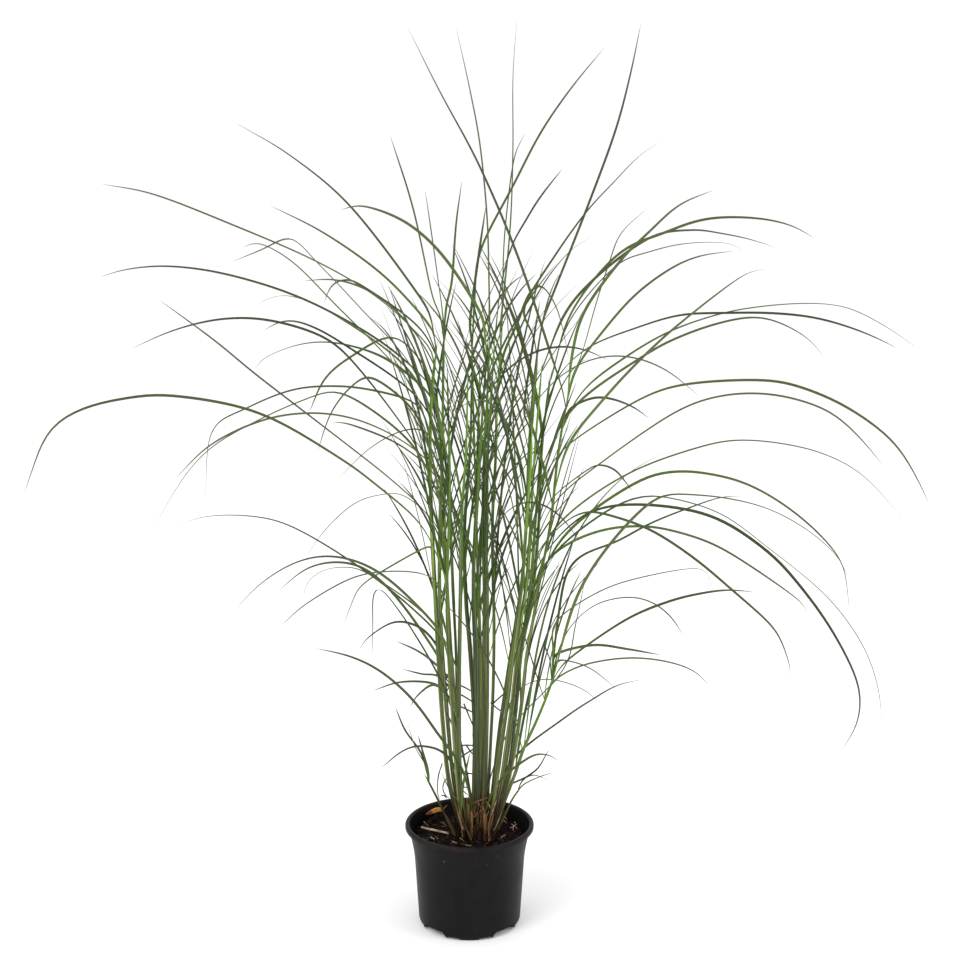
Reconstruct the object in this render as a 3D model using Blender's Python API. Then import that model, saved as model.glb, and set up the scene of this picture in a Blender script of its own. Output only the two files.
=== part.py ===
"""A clump of narrow-leaved fountain grass in a round black nursery pot.

The pot stands on z = 0 with its axis on the z axis.  The grass grows from the soil as separate
shoots: each one is a culm in its leaf sheaths, with the arching blades that grow from it.
Metres, +Z up, front towards -Y.
"""

import math
import random

import bmesh
import bpy
from mathutils import Matrix, Vector
from mathutils.bvhtree import BVHTree

# Pot, a 19 cm nursery pot
RIM_RADIUS = 0.0950
RIM_HEIGHT = 0.1550
LIP_DROP = 0.0068
MOUTH_RADIUS = 0.0884
COLLAR_TOP_RADIUS = 0.0894
COLLAR_FOOT_RADIUS = 0.0821
COLLAR_FOOT_HEIGHT = 0.1120
BODY_TOP_RADIUS = 0.0816
BODY_FOOT_RADIUS = 0.0754
EDGE_RADIUS = 0.0050
WALL = 0.0015
FOOT_HEIGHT = 0.0020
CENTRE_PAD_RADIUS = 0.0200
POT_COLUMNS = 32
NOTCH_COUNT = 4
NOTCH_START = math.radians(-45.0)
NOTCH_HEIGHT = 0.0100
SLOT_SIZE = (0.0060, 0.0130, 0.0036)
SLOT_HEIGHT = 0.0065

# Blocks of the pot's base: inner and outer radius, low and high z, half angles in degrees
EDGE_FOOT = (0.0652, 0.0710, 0.0, FOOT_HEIGHT + WALL * 0.5, 12.0, 12.0)
RECESS_WALL = (0.0605, 0.0749, FOOT_HEIGHT + WALL * 0.5, NOTCH_HEIGHT + WALL, 20.0, 15.5)
RECESS = (0.0620, 0.0800, -0.0010, NOTCH_HEIGHT, 19.5, 13.5)

# Soil
SOIL_TOP = 0.1360
SOIL_FLAT_RADIUS = 0.0640
SOIL_EDGE_RADIUS = 0.0834
SOIL_BUMP = 0.0018
SOIL_EDGE_DROP = 0.0030
MOUND_CENTRE = (-0.0520, 0.0600)
MOUND_HEIGHT = 0.0075
MOUND_SPREAD = 0.0160
SOIL_COLUMNS = 32

# Gap between neighbours that touch on the real plant
GAP = 0.0003

# Blades
BLADE_WIDTH = 0.0046
BLADE_KEEL = 0.0011
BLADE_TURN_PER_STEP = math.radians(31.0)
MOST_BLADE_STEPS = 6
SHORTEST_STEP = 0.008
FINE_STEPS = 48
EASING_ROUNDS = 3
LONGEST_REACH = 0.66
CULM_SIDES = 5
CULM_STEP = 0.180

# Where the photograph was taken from, to turn its pixels into rays
PHOTO_CENTRE = 480.0
FOCAL_PIXELS = 2000.0
EYE = Vector((0.0155, -2.75, 1.351))
EYE_PITCH = math.radians(13.8)

# Culms by the photograph's pixels, foot first, with radii at foot and tip and how far each leans
# back (+) or forward (-) between foot and tip
CULMS = {
    "shoot_01": (((463, 833), (449.5, 784), (443, 726), (438.5, 654), (435, 590), (431.5, 520), (430, 450),
                  (432, 390), (437, 345)),
                 0.0040, 0.0014, -0.040),
    "shoot_02": (((464.5, 829.5), (454, 784), (448, 726), (442.5, 654), (439.5, 590), (440, 520),
                  (442.5, 450), (443, 390), (444, 330)),
                 0.0033, 0.0012, 0.015),
    "shoot_03": (((464, 826.5), (457.5, 784), (456, 726), (451.5, 654), (447.5, 590), (444.5, 520),
                  (441, 450), (437, 400), (433, 375)),
                 0.0027, 0.0011, 0.060),
    "shoot_04": (((467.5, 835), (460.5, 784), (459, 726), (459.5, 654), (460.5, 590), (461.5, 520),
                  (466, 450), (468, 370)),
                 0.0034, 0.0012, -0.090),
    "shoot_05": (((473, 833), (474, 784), (474.5, 726), (470.5, 654), (466, 600), (464.5, 530), (470, 450),
                  (472, 365)),
                 0.0038, 0.0013, -0.020),
    "shoot_06": (((477, 836), (477.5, 784), (477.5, 726), (477, 654), (475, 610), (474, 560), (478, 490),
                  (482, 420), (487, 350)),
                 0.0034, 0.0012, -0.078),
    "shoot_07": (((480.5, 831.5), (482, 784), (484, 726), (484, 654), (484.5, 590), (483, 520), (484.5, 450),
                  (487, 400), (490, 335)),
                 0.0036, 0.0012, 0.010),
    "shoot_08": (((484, 834.5), (485.5, 784), (487, 726), (487.5, 654), (487.5, 590), (486, 520), (488, 450),
                  (491, 400), (495, 335)),
                 0.0030, 0.0011, -0.045),
    "shoot_09": (((488.5, 830), (493.5, 784), (499, 735), (503.5, 704), (511, 654), (516, 620), (522, 580),
                  (526.5, 520), (530, 450), (538, 350)),
                 0.0036, 0.0012, 0.035),
    "shoot_10": (((489.5, 833.5), (500.5, 784), (507, 740), (512, 704), (517.5, 654), (521, 620), (527, 580),
                  (531, 520), (535, 450), (542, 365)),
                 0.0034, 0.0012, -0.045),
    "shoot_11": (((492.8, 831.2), (505.5, 784), (512, 748), (516.5, 704), (521, 654), (527.5, 620), (534, 580),
                  (539, 520), (542, 450), (549, 380)),
                 0.0030, 0.0011, 0.050),
    "shoot_12": (((494.2, 835.3), (508, 784), (515, 748), (521.5, 704), (527, 654), (533, 620), (540, 580),
                  (551, 520), (558, 455), (568, 395)),
                 0.0028, 0.0010, -0.080),
    "shoot_13": (((492.5, 838.5), (500, 813), (508.5, 791), (516, 771), (524, 748), (536, 722), (546, 698),
                  (554, 676)),
                 0.0026, 0.0012, -0.035),
    "shoot_14": (((468, 825), (459.5, 784), (457.5, 726), (456, 654), (453, 590), (450.5, 520), (449, 440),
                  (447, 365)),
                 0.0028, 0.0011, 0.105),
    "shoot_15": (((475, 825.5), (476, 745), (475, 665), (473, 585), (476, 505), (478, 435), (480, 360)),
                 0.0030, 0.0011, 0.088),
    "shoot_16": (((485.5, 828), (488.5, 784), (491, 735), (493, 690), (494, 630), (493, 575), (492.5, 520),
                  (496, 450), (497, 400), (502, 335)),
                 0.0030, 0.0011, 0.070),
    "shoot_17": (((491.5, 828), (502.5, 784), (509, 745), (514, 704), (520, 654), (525.5, 620), (531, 580),
                  (536, 515), (541, 450), (551, 375)),
                 0.0028, 0.0011, 0.120),
    "shoot_18": (((479, 828), (480, 784), (481, 726), (480.5, 654), (478, 585), (476, 505), (474, 435),
                  (472, 350)),
                 0.0028, 0.0010, 0.045),
    "shoot_19": (((463.5, 837), (457, 784), (453, 726), (448.5, 654), (447, 590), (449, 520), (450, 470),
                  (449, 430)),
                 0.0026, 0.0011, -0.140),
    "shoot_20": (((486.5, 837), (496.5, 784), (503, 735), (508, 700), (514, 650), (519, 610), (523, 575),
                  (527, 520), (531, 465), (532, 425)),
                 0.0026, 0.0011, -0.135),
}

# Blade tops and sides by the photograph's pixels, tip first, down to where each enters the clump
BLADES_UP = (
    ((407, 26), (440, 92), (480, 167), (520, 262), (556, 370)),
    ((456, 27), (470, 90), (480, 144), (487, 215)),
    ((517, 18), (513, 76), (513, 147), (510, 230), (500, 330)),
    ((605, 47), (572, 87), (541, 132), (514, 184), (480, 251)),
    ((641, 23), (630, 76), (615, 132), (587, 208), (553, 294)),
    ((660, 142), (639, 156), (612, 184), (587, 211), (556, 254), (523, 309)),
    ((714, 190), (679, 205), (648, 233), (621, 260), (585, 310)),
    ((390, 135), (413, 208), (432, 294)),
    ((563, 168), (541, 196), (526, 220), (511, 248)),
    ((526, 132), (514, 159), (505, 230)),
    ((648, 208), (621, 233), (609, 263), (596, 303), (581, 355)),
    ((569, 361), (564, 334), (556, 306), (541, 285), (529, 294), (517, 324)),
    ((425, 190), (432, 235), (440, 290)),
    ((462, 180), (456, 225), (452, 280)),
    ((486, 205), (478, 260), (470, 320)),
    ((540, 300), (532, 350), (524, 410)),
)
BLADES_LEFT = (
    ((234, 122), (291, 156), (352, 208), (422, 300)),
    ((101, 184), (153, 194), (233, 225), (318, 262), (383, 301), (435, 352)),
    ((98, 278), (122, 270), (168, 266), (230, 275), (306, 300), (383, 343), (435, 389)),
    ((269, 205), (324, 233), (383, 275), (429, 324)),
    ((340, 210), (364, 206), (407, 223), (444, 257), (480, 312)),
    ((242, 248), (259, 243), (294, 263), (337, 306), (383, 352)),
    ((231, 262), (266, 248), (291, 237), (318, 263), (358, 305)),
    ((158, 299), (214, 340), (254, 373), (306, 413), (358, 453), (392, 480)),
    ((129, 350), (171, 331), (220, 319), (269, 320), (324, 337), (355, 364), (398, 419)),
    ((256, 306), (269, 298), (291, 296), (330, 312)),
    ((263, 331), (282, 321), (306, 324), (345, 345)),
    ((254, 370), (266, 357), (300, 344), (337, 343), (383, 357), (422, 386)),
    ((23, 497), (29, 480), (49, 429), (86, 407), (122, 399), (168, 395), (260, 413), (346, 462), (370, 480)),
    ((205, 505), (211, 432), (245, 409), (291, 390), (331, 386), (367, 389), (413, 401)),
    ((150, 535), (180, 482), (211, 447), (260, 419), (306, 399), (343, 393)),
    ((174, 480), (210, 445), (260, 421), (306, 413), (352, 418), (398, 438)),
    ((324, 303), (331, 286), (343, 280), (361, 285)),
    ((309, 413), (324, 380), (349, 358), (392, 337)),
    ((317, 453), (331, 413), (352, 386), (373, 378)),
    ((332, 422), (352, 425), (398, 444)),
    ((337, 480), (367, 450), (398, 432), (422, 430)),
    ((171, 532), (190, 520), (220, 515), (260, 517), (291, 526), (337, 552), (383, 584), (413, 609), (435, 630)),
    ((233, 612), (260, 584), (294, 563), (327, 556), (361, 563), (392, 582), (429, 618)),
    ((277, 592), (306, 569), (337, 562), (367, 570), (398, 599), (435, 651)),
    ((303, 604), (306, 584), (321, 571), (340, 567), (367, 573)),
    ((280, 627), (306, 604), (352, 578), (392, 571), (429, 575)),
    ((373, 661), (373, 627), (380, 587)),
    ((342, 630), (352, 602), (361, 586), (386, 569), (429, 546)),
    ((358, 651), (370, 636), (395, 622), (419, 627)),
    ((396, 641), (416, 650), (432, 661)),
    ((315, 648), (352, 657), (383, 673), (413, 700), (438, 734)),
    ((372, 691), (401, 682), (435, 684)),
    ((409, 708), (419, 694), (435, 685)),
    ((402, 669), (422, 674), (438, 676)),
    ((380, 769), (401, 752), (419, 746), (441, 751)),
    ((303, 569), (312, 547), (334, 520), (358, 501), (383, 494), (404, 495)),
)
BLADES_RIGHT = (
    ((815, 239), (798, 228), (771, 220), (734, 217), (700, 220), (664, 233), (618, 254)),
    ((777, 248), (749, 239), (719, 233), (691, 230), (645, 240)),
    ((745, 252), (734, 244), (710, 242), (679, 244), (648, 252), (615, 266)),
    ((734, 251), (700, 256), (670, 269), (633, 297), (596, 340)),
    ((766, 269), (749, 272), (725, 288), (694, 312), (664, 337), (633, 367), (602, 401)),
    ((918, 349), (890, 329), (847, 307), (804, 303), (755, 307), (719, 314), (670, 331), (624, 358)),
    ((899, 349), (863, 332), (817, 318), (771, 313), (725, 313), (679, 315), (633, 329), (590, 346)),
    ((826, 361), (811, 341), (783, 324), (755, 317), (719, 323), (679, 337), (645, 355)),
    ((930, 506), (918, 480), (893, 441), (847, 407), (801, 387), (765, 380), (694, 383), (648, 395), (581, 435)),
    ((884, 467), (863, 441), (832, 413), (792, 398), (752, 393), (710, 398), (670, 415), (602, 462)),
    ((907, 523), (869, 480), (847, 464), (817, 451), (786, 444), (749, 440), (710, 444), (627, 474)),
    ((850, 618), (847, 587), (841, 560), (811, 526), (774, 498), (740, 481), (710, 474), (682, 471), (640, 480)),
    ((650, 419), (633, 407), (612, 399), (593, 398), (572, 407)),
    ((633, 492), (624, 480), (615, 470), (601, 465), (587, 470)),
    ((840, 752), (858, 725), (861, 694), (856, 676), (832, 630), (801, 587), (765, 549), (700, 512), (602, 507)),
    ((882, 726), (879, 691), (866, 651), (841, 612), (811, 581), (765, 545), (725, 515), (680, 500), (630, 498)),
    ((849, 581), (841, 560), (811, 532), (771, 509), (734, 499), (697, 495), (650, 502)),
    ((808, 615), (801, 602), (755, 569), (713, 544), (670, 530), (639, 526), (602, 530), (565, 545)),
    ((788, 684), (792, 673), (786, 654), (774, 628), (731, 589), (694, 558), (651, 530), (612, 516), (581, 512)),
    ((746, 496), (722, 497), (694, 506), (651, 523), (618, 541), (572, 563)),
    ((711, 592), (710, 578), (700, 568), (651, 575), (602, 590), (556, 621)),
    ((684, 636), (670, 616), (651, 602), (627, 597), (596, 604), (572, 624)),
    ((755, 592), (728, 590), (703, 593), (670, 601), (627, 619), (575, 654)),
    ((661, 655), (627, 649), (593, 645), (556, 654)),
    ((711, 688), (694, 671), (664, 661), (627, 658), (587, 664), (560, 676)),
    ((604, 706), (581, 688), (550, 679), (526, 684)),
    ((645, 679), (618, 685), (593, 699), (563, 719)),
    ((586, 575), (575, 627), (563, 670)),
    ((560, 762), (548, 755), (530, 757)),
    ((552, 782), (535, 775), (520, 780)),
    ((602, 560), (590, 572), (566, 600), (545, 640)),
    ((618, 690), (590, 668), (560, 660)),
)
BASAL_BLADES = {
    "basal_shoot_left": (((455, 835), (438, 800), (425, 775)), 0.0016, -0.020,
                         (((395, 706), (405, 730)), ((407, 722), (416, 748)), ((418, 735), (424, 756)))),
    "basal_shoot_front": (((471, 840), (463, 820), (459, 805)), 0.0013, -0.018,
                          (((441, 772), (450, 790)), ((470, 752), (464, 780)))),
    "basal_shoot_right": (((497.5, 830), (512, 800), (522, 786)), 0.0014, 0.010,
                          (((549, 749), (538, 768)), ((556, 772), (541, 776)))),
}

# Dead cut stubs: foot pixel, height, radius and lean (x, y)
STUBS = {
    "dead_stub_1": ((470.5, 830.5), 0.052, 0.0044, (-0.05, 0.00)),
    "dead_stub_2": ((472, 838), 0.046, 0.0022, (-0.02, -0.06)),
    "dead_stub_3": ((480, 839), 0.042, 0.0020, (0.03, -0.05)),
    "dead_stub_4": ((485.5, 839.5), 0.044, 0.0030, (-0.02, -0.08)),
    "dead_stub_5": ((489.5, 841), 0.034, 0.0021, (0.02, -0.04)),
    "dead_stub_6": ((500, 826), 0.024, 0.0022, (0.25, 0.10)),
}

# Loose pieces on the soil: two end pixels
FALLEN_LEAF = ((430, 815), (443, 810))
LEAF_HALF_WIDTH = 0.0032
STRAW_LONG_RADIUS = 0.0019
STRAW_SHORT_RADIUS = 0.0011
STRAW_LONG = ((421, 828), (449, 834))
STRAW_SHORT = ((500, 818), (507, 824))

PLANT_SEED = 22
RULE_BLADES_PER_SHOOT = 1
MOST_BLADES = 10
CROWDING_COST = 8.0
DROP_COST = 0.80
JOIN_DROP = 14.0
LEAST_JOIN_SLOPE = 0.95
MOST_JOIN_SLOPE = 2.6
WRONG_WAY_COST = 2.0
RISE_ACROSS = 0.31
RISE_UP = 0.54
LOWEST_JOIN_ROW = 812.0
LOWEST_TIP = 0.20
HIGHEST_ROW = 235.0

FORWARD = Vector((0.0, math.cos(EYE_PITCH), -math.sin(EYE_PITCH)))
UPWARD = Vector((0.0, math.sin(EYE_PITCH), math.cos(EYE_PITCH)))
RIGHTWARD = Vector((1.0, 0.0, 0.0))


def clear_scene():
    for old in list(bpy.data.objects):
        bpy.data.objects.remove(old, do_unlink=True)


def pixel_ray(pixel):
    """Direction from the eye through one pixel of the photograph."""
    across = (pixel[0] - PHOTO_CENTRE) / FOCAL_PIXELS
    up = (PHOTO_CENTRE - pixel[1]) / FOCAL_PIXELS
    return FORWARD + RIGHTWARD * across + UPWARD * up


def at_depth(pixel, depth):
    """Point seen at a pixel, at world y = depth."""
    ray = pixel_ray(pixel)
    return EYE + ray * ((depth - EYE.y) / ray.y)


def at_height(pixel, height):
    """Point seen at a pixel, at world z = height."""
    ray = pixel_ray(pixel)
    return EYE + ray * ((height - EYE.z) / ray.z)


def row_of(point):
    """Pixel row at which a point shows in the photograph."""
    offset = point - EYE
    return PHOTO_CENTRE - FOCAL_PIXELS * offset.dot(UPWARD) / offset.dot(FORWARD)


def smooth_step(low, high, value):
    share = min(1.0, max(0.0, (value - low) / (high - low)))
    return share * share * (3.0 - 2.0 * share)


def spline(points, count):
    """Evenly spaced points on a Catmull-Rom curve through the given ones."""
    knots = [points[0] * 2.0 - points[1]] + list(points) + [points[-1] * 2.0 - points[-2]]
    fine = []
    for index in range(1, len(knots) - 2):
        before, start, end, after = knots[index - 1:index + 3]
        for step in range(12):
            t = step / 12.0
            fine.append(0.5 * (2.0 * start + (end - before) * t
                               + (2.0 * before - 5.0 * start + 4.0 * end - after) * t * t
                               + (3.0 * start - before - 3.0 * end + after) * t * t * t))
    fine.append(points[-1].copy())
    lengths = [0.0]
    for first, second in zip(fine, fine[1:]):
        lengths.append(lengths[-1] + (second - first).length)
    result = []
    place = 0
    for step in range(count + 1):
        target = lengths[-1] * step / count
        while place < len(lengths) - 2 and lengths[place + 1] < target:
            place += 1
        share = (target - lengths[place]) / max(1e-9, lengths[place + 1] - lengths[place])
        result.append(fine[place].lerp(fine[place + 1], share))
    return result


def path_length(points):
    return sum((second - first).length for first, second in zip(points, points[1:]))


def material(name, colour, roughness):
    made = bpy.data.materials.new(name)
    made.use_nodes = True
    shader = made.node_tree.nodes["Principled BSDF"]
    shader.inputs["Base Color"].default_value = (*colour, 1.0)
    shader.inputs["Roughness"].default_value = roughness
    shader.inputs["Metallic"].default_value = 0.0
    return made


def add_object(name, mesh_data, finish, parent, smooth=False):
    made = bpy.data.objects.new(name, mesh_data)
    bpy.context.scene.collection.objects.link(made)
    mesh_data.materials.clear()
    mesh_data.materials.append(finish)
    if smooth:
        mesh_data.shade_smooth()
        mesh_data.set_sharp_from_angle(angle=math.radians(35.0))
    made.parent = parent
    return made


def mesh_from_bmesh(name, bm):
    bmesh.ops.recalc_face_normals(bm, faces=bm.faces)
    made = bpy.data.meshes.new(name)
    bm.to_mesh(made)
    bm.free()
    return made


def loft(rings, tip=None):
    """Closed tube through rings of points, ended by a flat cap or by a point."""
    bm = bmesh.new()
    loops = [[bm.verts.new(point) for point in ring] for ring in rings]
    sides = len(rings[0])
    for lower, upper in zip(loops, loops[1:]):
        for index in range(sides):
            following = (index + 1) % sides
            bm.faces.new((lower[index], lower[following], upper[following], upper[index]))
    bm.faces.new(loops[0][::-1])
    if tip is None:
        bm.faces.new(loops[-1])
    else:
        point = bm.verts.new(tip)
        for index in range(sides):
            bm.faces.new((loops[-1][index], loops[-1][(index + 1) % sides], point))
    bmesh.ops.triangulate(bm, faces=bm.faces)
    return bm


def fuse(base, others, operation="UNION"):
    """Joins other objects to the base, or cuts them out of it, and removes them."""
    group = bpy.data.collections.new("operands")
    bpy.context.scene.collection.children.link(group)
    for other in others:
        for owner in list(other.users_collection):
            owner.objects.unlink(other)
        group.objects.link(other)
    join = base.modifiers.new("join", "BOOLEAN")
    join.operation = operation
    join.solver = "EXACT"
    join.operand_type = "COLLECTION"
    join.collection = group
    bpy.context.view_layer.update()
    shaped = base.evaluated_get(bpy.context.evaluated_depsgraph_get())
    result = bpy.data.meshes.new_from_object(shaped)
    base.modifiers.clear()
    old = base.data
    base.data = result
    bpy.data.meshes.remove(old)
    for other in others:
        bpy.data.objects.remove(other, do_unlink=True)
    bpy.data.collections.remove(group)


# Pot

def pot_profile():
    """Half section of the pot, from the inside of the floor round the lip to the underside."""
    floor = FOOT_HEIGHT + WALL
    neck = RIM_HEIGHT - LIP_DROP
    return [
        (0.0, floor),
        (BODY_FOOT_RADIUS - EDGE_RADIUS, floor),
        (BODY_FOOT_RADIUS - WALL, floor + EDGE_RADIUS),
        (BODY_TOP_RADIUS - WALL, COLLAR_FOOT_HEIGHT - 0.0015),
        (COLLAR_FOOT_RADIUS - WALL, COLLAR_FOOT_HEIGHT + 0.0006),
        (COLLAR_TOP_RADIUS - WALL, neck),
        (MOUTH_RADIUS, RIM_HEIGHT - 0.0014),
        (MOUTH_RADIUS + 0.0018, RIM_HEIGHT),
        (RIM_RADIUS - 0.0018, RIM_HEIGHT),
        (RIM_RADIUS, RIM_HEIGHT - 0.0018),
        (RIM_RADIUS, neck),
        (RIM_RADIUS - WALL, neck),
        (RIM_RADIUS - WALL, RIM_HEIGHT - 0.0028),
        (MOUTH_RADIUS + 0.0016, RIM_HEIGHT - 0.0030),
        (COLLAR_TOP_RADIUS, neck - 0.0010),
        (COLLAR_FOOT_RADIUS, COLLAR_FOOT_HEIGHT),
        (BODY_TOP_RADIUS, COLLAR_FOOT_HEIGHT - 0.0025),
        (BODY_FOOT_RADIUS, FOOT_HEIGHT + EDGE_RADIUS),
        (BODY_FOOT_RADIUS - EDGE_RADIUS * 0.3, FOOT_HEIGHT + EDGE_RADIUS * 0.3),
        (BODY_FOOT_RADIUS - EDGE_RADIUS, FOOT_HEIGHT),
        (0.0, FOOT_HEIGHT),
    ]


def build_pot(parent):
    bm = bmesh.new()
    profile = [bm.verts.new((radius, 0.0, height)) for radius, height in pot_profile()]
    edges = [bm.edges.new(pair) for pair in zip(profile, profile[1:])]
    bmesh.ops.spin(bm, geom=profile + edges, cent=(0, 0, 0), axis=(0, 0, 1), dvec=(0, 0, 0),
                   angle=2.0 * math.pi, steps=POT_COLUMNS, use_merge=True)
    bmesh.ops.remove_doubles(bm, verts=bm.verts, dist=0.00001)
    pot = add_object("pot", mesh_from_bmesh("pot", bm), material("black_plastic", (0.012, 0.011, 0.012), 0.5),
                     parent)
    quarter_turns = [index * math.pi / 2.0 for index in range(4)]
    recess_turns = [NOTCH_START + index * 2.0 * math.pi / NOTCH_COUNT for index in range(NOTCH_COUNT)]
    feet = [centre_pad()]
    feet += [sector("edge_foot", turn, EDGE_FOOT) for turn in quarter_turns]
    feet += [sector("recess_wall", turn, RECESS_WALL) for turn in recess_turns]
    fuse(pot, feet)
    holes = [sector("recess", turn, RECESS) for turn in recess_turns]
    holes += [drain_slot(turn) for turn in recess_turns]
    fuse(pot, holes, "DIFFERENCE")
    pot.data.shade_smooth()
    pot.data.set_sharp_from_angle(angle=math.radians(35.0))
    return pot


def centre_pad():
    """Round pad under the middle of the floor."""
    bm = bmesh.new()
    radius = CENTRE_PAD_RADIUS - 0.002
    height = FOOT_HEIGHT + WALL * 0.5
    bmesh.ops.create_cone(bm, cap_ends=True, segments=16, radius1=radius, radius2=radius, depth=height)
    bmesh.ops.translate(bm, verts=bm.verts, vec=(0.0, 0.0, height / 2.0))
    made = bpy.data.objects.new("centre_pad", mesh_from_bmesh("centre_pad", bm))
    bpy.context.scene.collection.objects.link(made)
    return made


def sector(name, turn, shape):
    """Block between two radii and two heights round the pot's axis, narrower or wider at its top."""
    inner, outer, low, high, low_half, high_half = shape
    rings = []
    for height, half in ((low, low_half), (high, high_half)):
        arc = [turn + math.radians(half) * share for share in (-1.0, 0.0, 1.0)]
        ring = [(outer * math.cos(angle), outer * math.sin(angle), height) for angle in arc]
        ring += [(inner * math.cos(angle), inner * math.sin(angle), height) for angle in reversed(arc)]
        rings.append(ring)
    made = bpy.data.objects.new(name, mesh_from_bmesh(name, loft(rings)))
    bpy.context.scene.collection.objects.link(made)
    return made


def drain_slot(angle):
    """Cutter for the opening in a recess of the base edge."""
    bm = bmesh.new()
    bmesh.ops.create_cube(bm, size=1.0)
    bmesh.ops.scale(bm, verts=bm.verts, vec=SLOT_SIZE)
    bmesh.ops.translate(bm, verts=bm.verts, vec=(RECESS[0], 0.0, SLOT_HEIGHT))
    bmesh.ops.rotate(bm, verts=bm.verts, cent=(0, 0, 0), matrix=Matrix.Rotation(angle, 3, "Z"))
    made = bpy.data.objects.new("drain_slot", mesh_from_bmesh("drain_slot", bm))
    bpy.context.scene.collection.objects.link(made)
    return made


# Soil

def soil_profile():
    """Half section of the root ball, from the middle of its top down to the floor."""
    edge = BODY_TOP_RADIUS - WALL - GAP * 2.0
    foot = RECESS_WALL[0] - 0.0012
    low = RECESS_WALL[3] + GAP
    return [
        (0.0, SOIL_TOP),
        (SOIL_FLAT_RADIUS, SOIL_TOP),
        (0.0760, SOIL_TOP),
        (SOIL_EDGE_RADIUS, SOIL_TOP - SOIL_EDGE_DROP),
        (COLLAR_FOOT_RADIUS - WALL - GAP * 3.0, COLLAR_FOOT_HEIGHT + 0.0050),
        (edge - 0.0006, COLLAR_FOOT_HEIGHT - 0.0030),
        (BODY_FOOT_RADIUS - WALL - 0.0016, low + 0.0030),
        (BODY_FOOT_RADIUS - WALL - 0.0030, low),
        (foot, low),
        (foot, FOOT_HEIGHT + WALL + GAP),
        (0.0, FOOT_HEIGHT + WALL + GAP),
    ]


def soil_bump(x, y):
    """Gentle hummocks near the edge of the soil and a mound behind, none where the grass stands."""
    radius = math.hypot(x, y)
    strength = smooth_step(SOIL_FLAT_RADIUS - 0.001, SOIL_FLAT_RADIUS + 0.006, radius)
    wave = math.sin(x * 210.0 + 1.3) * math.cos(y * 170.0 - 0.4) + 0.6 * math.sin(x * 90.0 - y * 130.0)
    away = math.dist((x, y), MOUND_CENTRE) / MOUND_SPREAD
    return SOIL_BUMP * strength * wave + MOUND_HEIGHT * math.exp(-away * away)


def build_soil(parent):
    bm = bmesh.new()
    profile = [bm.verts.new((radius, 0.0, height)) for radius, height in soil_profile()]
    edges = [bm.edges.new(pair) for pair in zip(profile, profile[1:])]
    bmesh.ops.spin(bm, geom=profile + edges, cent=(0, 0, 0), axis=(0, 0, 1), dvec=(0, 0, 0),
                   angle=2.0 * math.pi, steps=SOIL_COLUMNS, use_merge=True)
    bmesh.ops.remove_doubles(bm, verts=bm.verts, dist=0.00001)
    for vert in bm.verts:
        if vert.co.z > SOIL_TOP - SOIL_EDGE_DROP - 0.001:
            vert.co.z += soil_bump(vert.co.x, vert.co.y)
    return add_object("soil", mesh_from_bmesh("soil", bm), material("potting_soil", (0.016, 0.010, 0.007), 0.95),
                      parent, smooth=True)


def ground_under(soil_tree, points):
    """Highest soil under some points."""
    hits = [soil_tree.ray_cast(Vector((point[0], point[1], RIM_HEIGHT)), Vector((0.0, 0.0, -1.0)))[0]
            for point in points]
    return max(hit.z for hit in hits if hit is not None)


def round_points(centre, radius):
    turns = [math.pi * index / 4.0 for index in range(8)]
    return [centre] + [centre + Vector((radius * math.cos(turn), radius * math.sin(turn), 0.0)) for turn in turns]


# Shoots

def culm_path(pixels, lean, foot_radius, soil_tree):
    """Middle line of a culm: its foot stands on the soil, its tip leans back or forward."""
    foot = at_height(pixels[0], SOIL_TOP)
    foot.z = ground_under(soil_tree, round_points(foot, foot_radius)) + GAP
    points = [foot]
    for pixel in pixels[1:]:
        rise = (pixels[0][1] - pixel[1]) / (pixels[0][1] - pixels[-1][1])
        points.append(at_depth(pixel, foot.y + lean * rise ** 1.2))
    return points


def culm_radius(foot_radius, tip_radius, share):
    return foot_radius + (tip_radius - foot_radius) * share ** 1.4


def culm_bmesh(path, foot_radius, tip_radius, extra=0.0):
    """Tapering tube along a culm, its foot cut level."""
    rings = []
    for index, point in enumerate(path):
        radius = culm_radius(foot_radius, tip_radius, index / (len(path) - 1)) + extra
        turns = [2.0 * math.pi * (side + 0.25 * index) / CULM_SIDES for side in range(CULM_SIDES)]
        rings.append([point + Vector((radius * math.cos(turn), radius * math.sin(turn), 0.0)) for turn in turns])
    tip = path[-1] + (path[-1] - path[-2]).normalized() * 0.012
    return loft(rings, tip)


def blade_width(width, share):
    """A blade widens above its sheath, keeps its width, then runs out to a long fine tip."""
    return width * min(1.0, 0.62 + 2.6 * share) * (1.0 - share ** 2.2) ** 0.8


def blade_bmesh(path, width, twist, extra=0.0):
    """Keeled blade: three-sided, flat side up, running out to a point."""
    lean = path[-1] - path[0]
    lean.z = 0.0
    if lean.length < 0.02:
        lean = Vector((1.0, 0.4, 0.0))
    across = Vector((-lean.y, lean.x, 0.0)).normalized()
    last = len(path) - 1
    rings = []
    for index in range(last):
        along = (path[index + 1] - path[max(0, index - 1)]).normalized()
        side = (across - along * across.dot(along)).normalized()
        side = Matrix.Rotation(twist * index / last, 3, along) @ side
        below = side.cross(along).normalized()
        if below.z > 0.0:
            below = -below
        half = blade_width(width, index / last) / 2.0 + extra
        keel = BLADE_KEEL * (0.35 + 0.65 * half * 2.0 / width) + extra * 2.0
        middle = path[index]
        rings.append([middle + side * half - below * extra, middle - side * half - below * extra,
                      middle + below * keel])
    return loft(rings, path[-1])


def tree_of(bm):
    made = BVHTree.FromBMesh(bm)
    bm.free()
    return made


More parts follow.
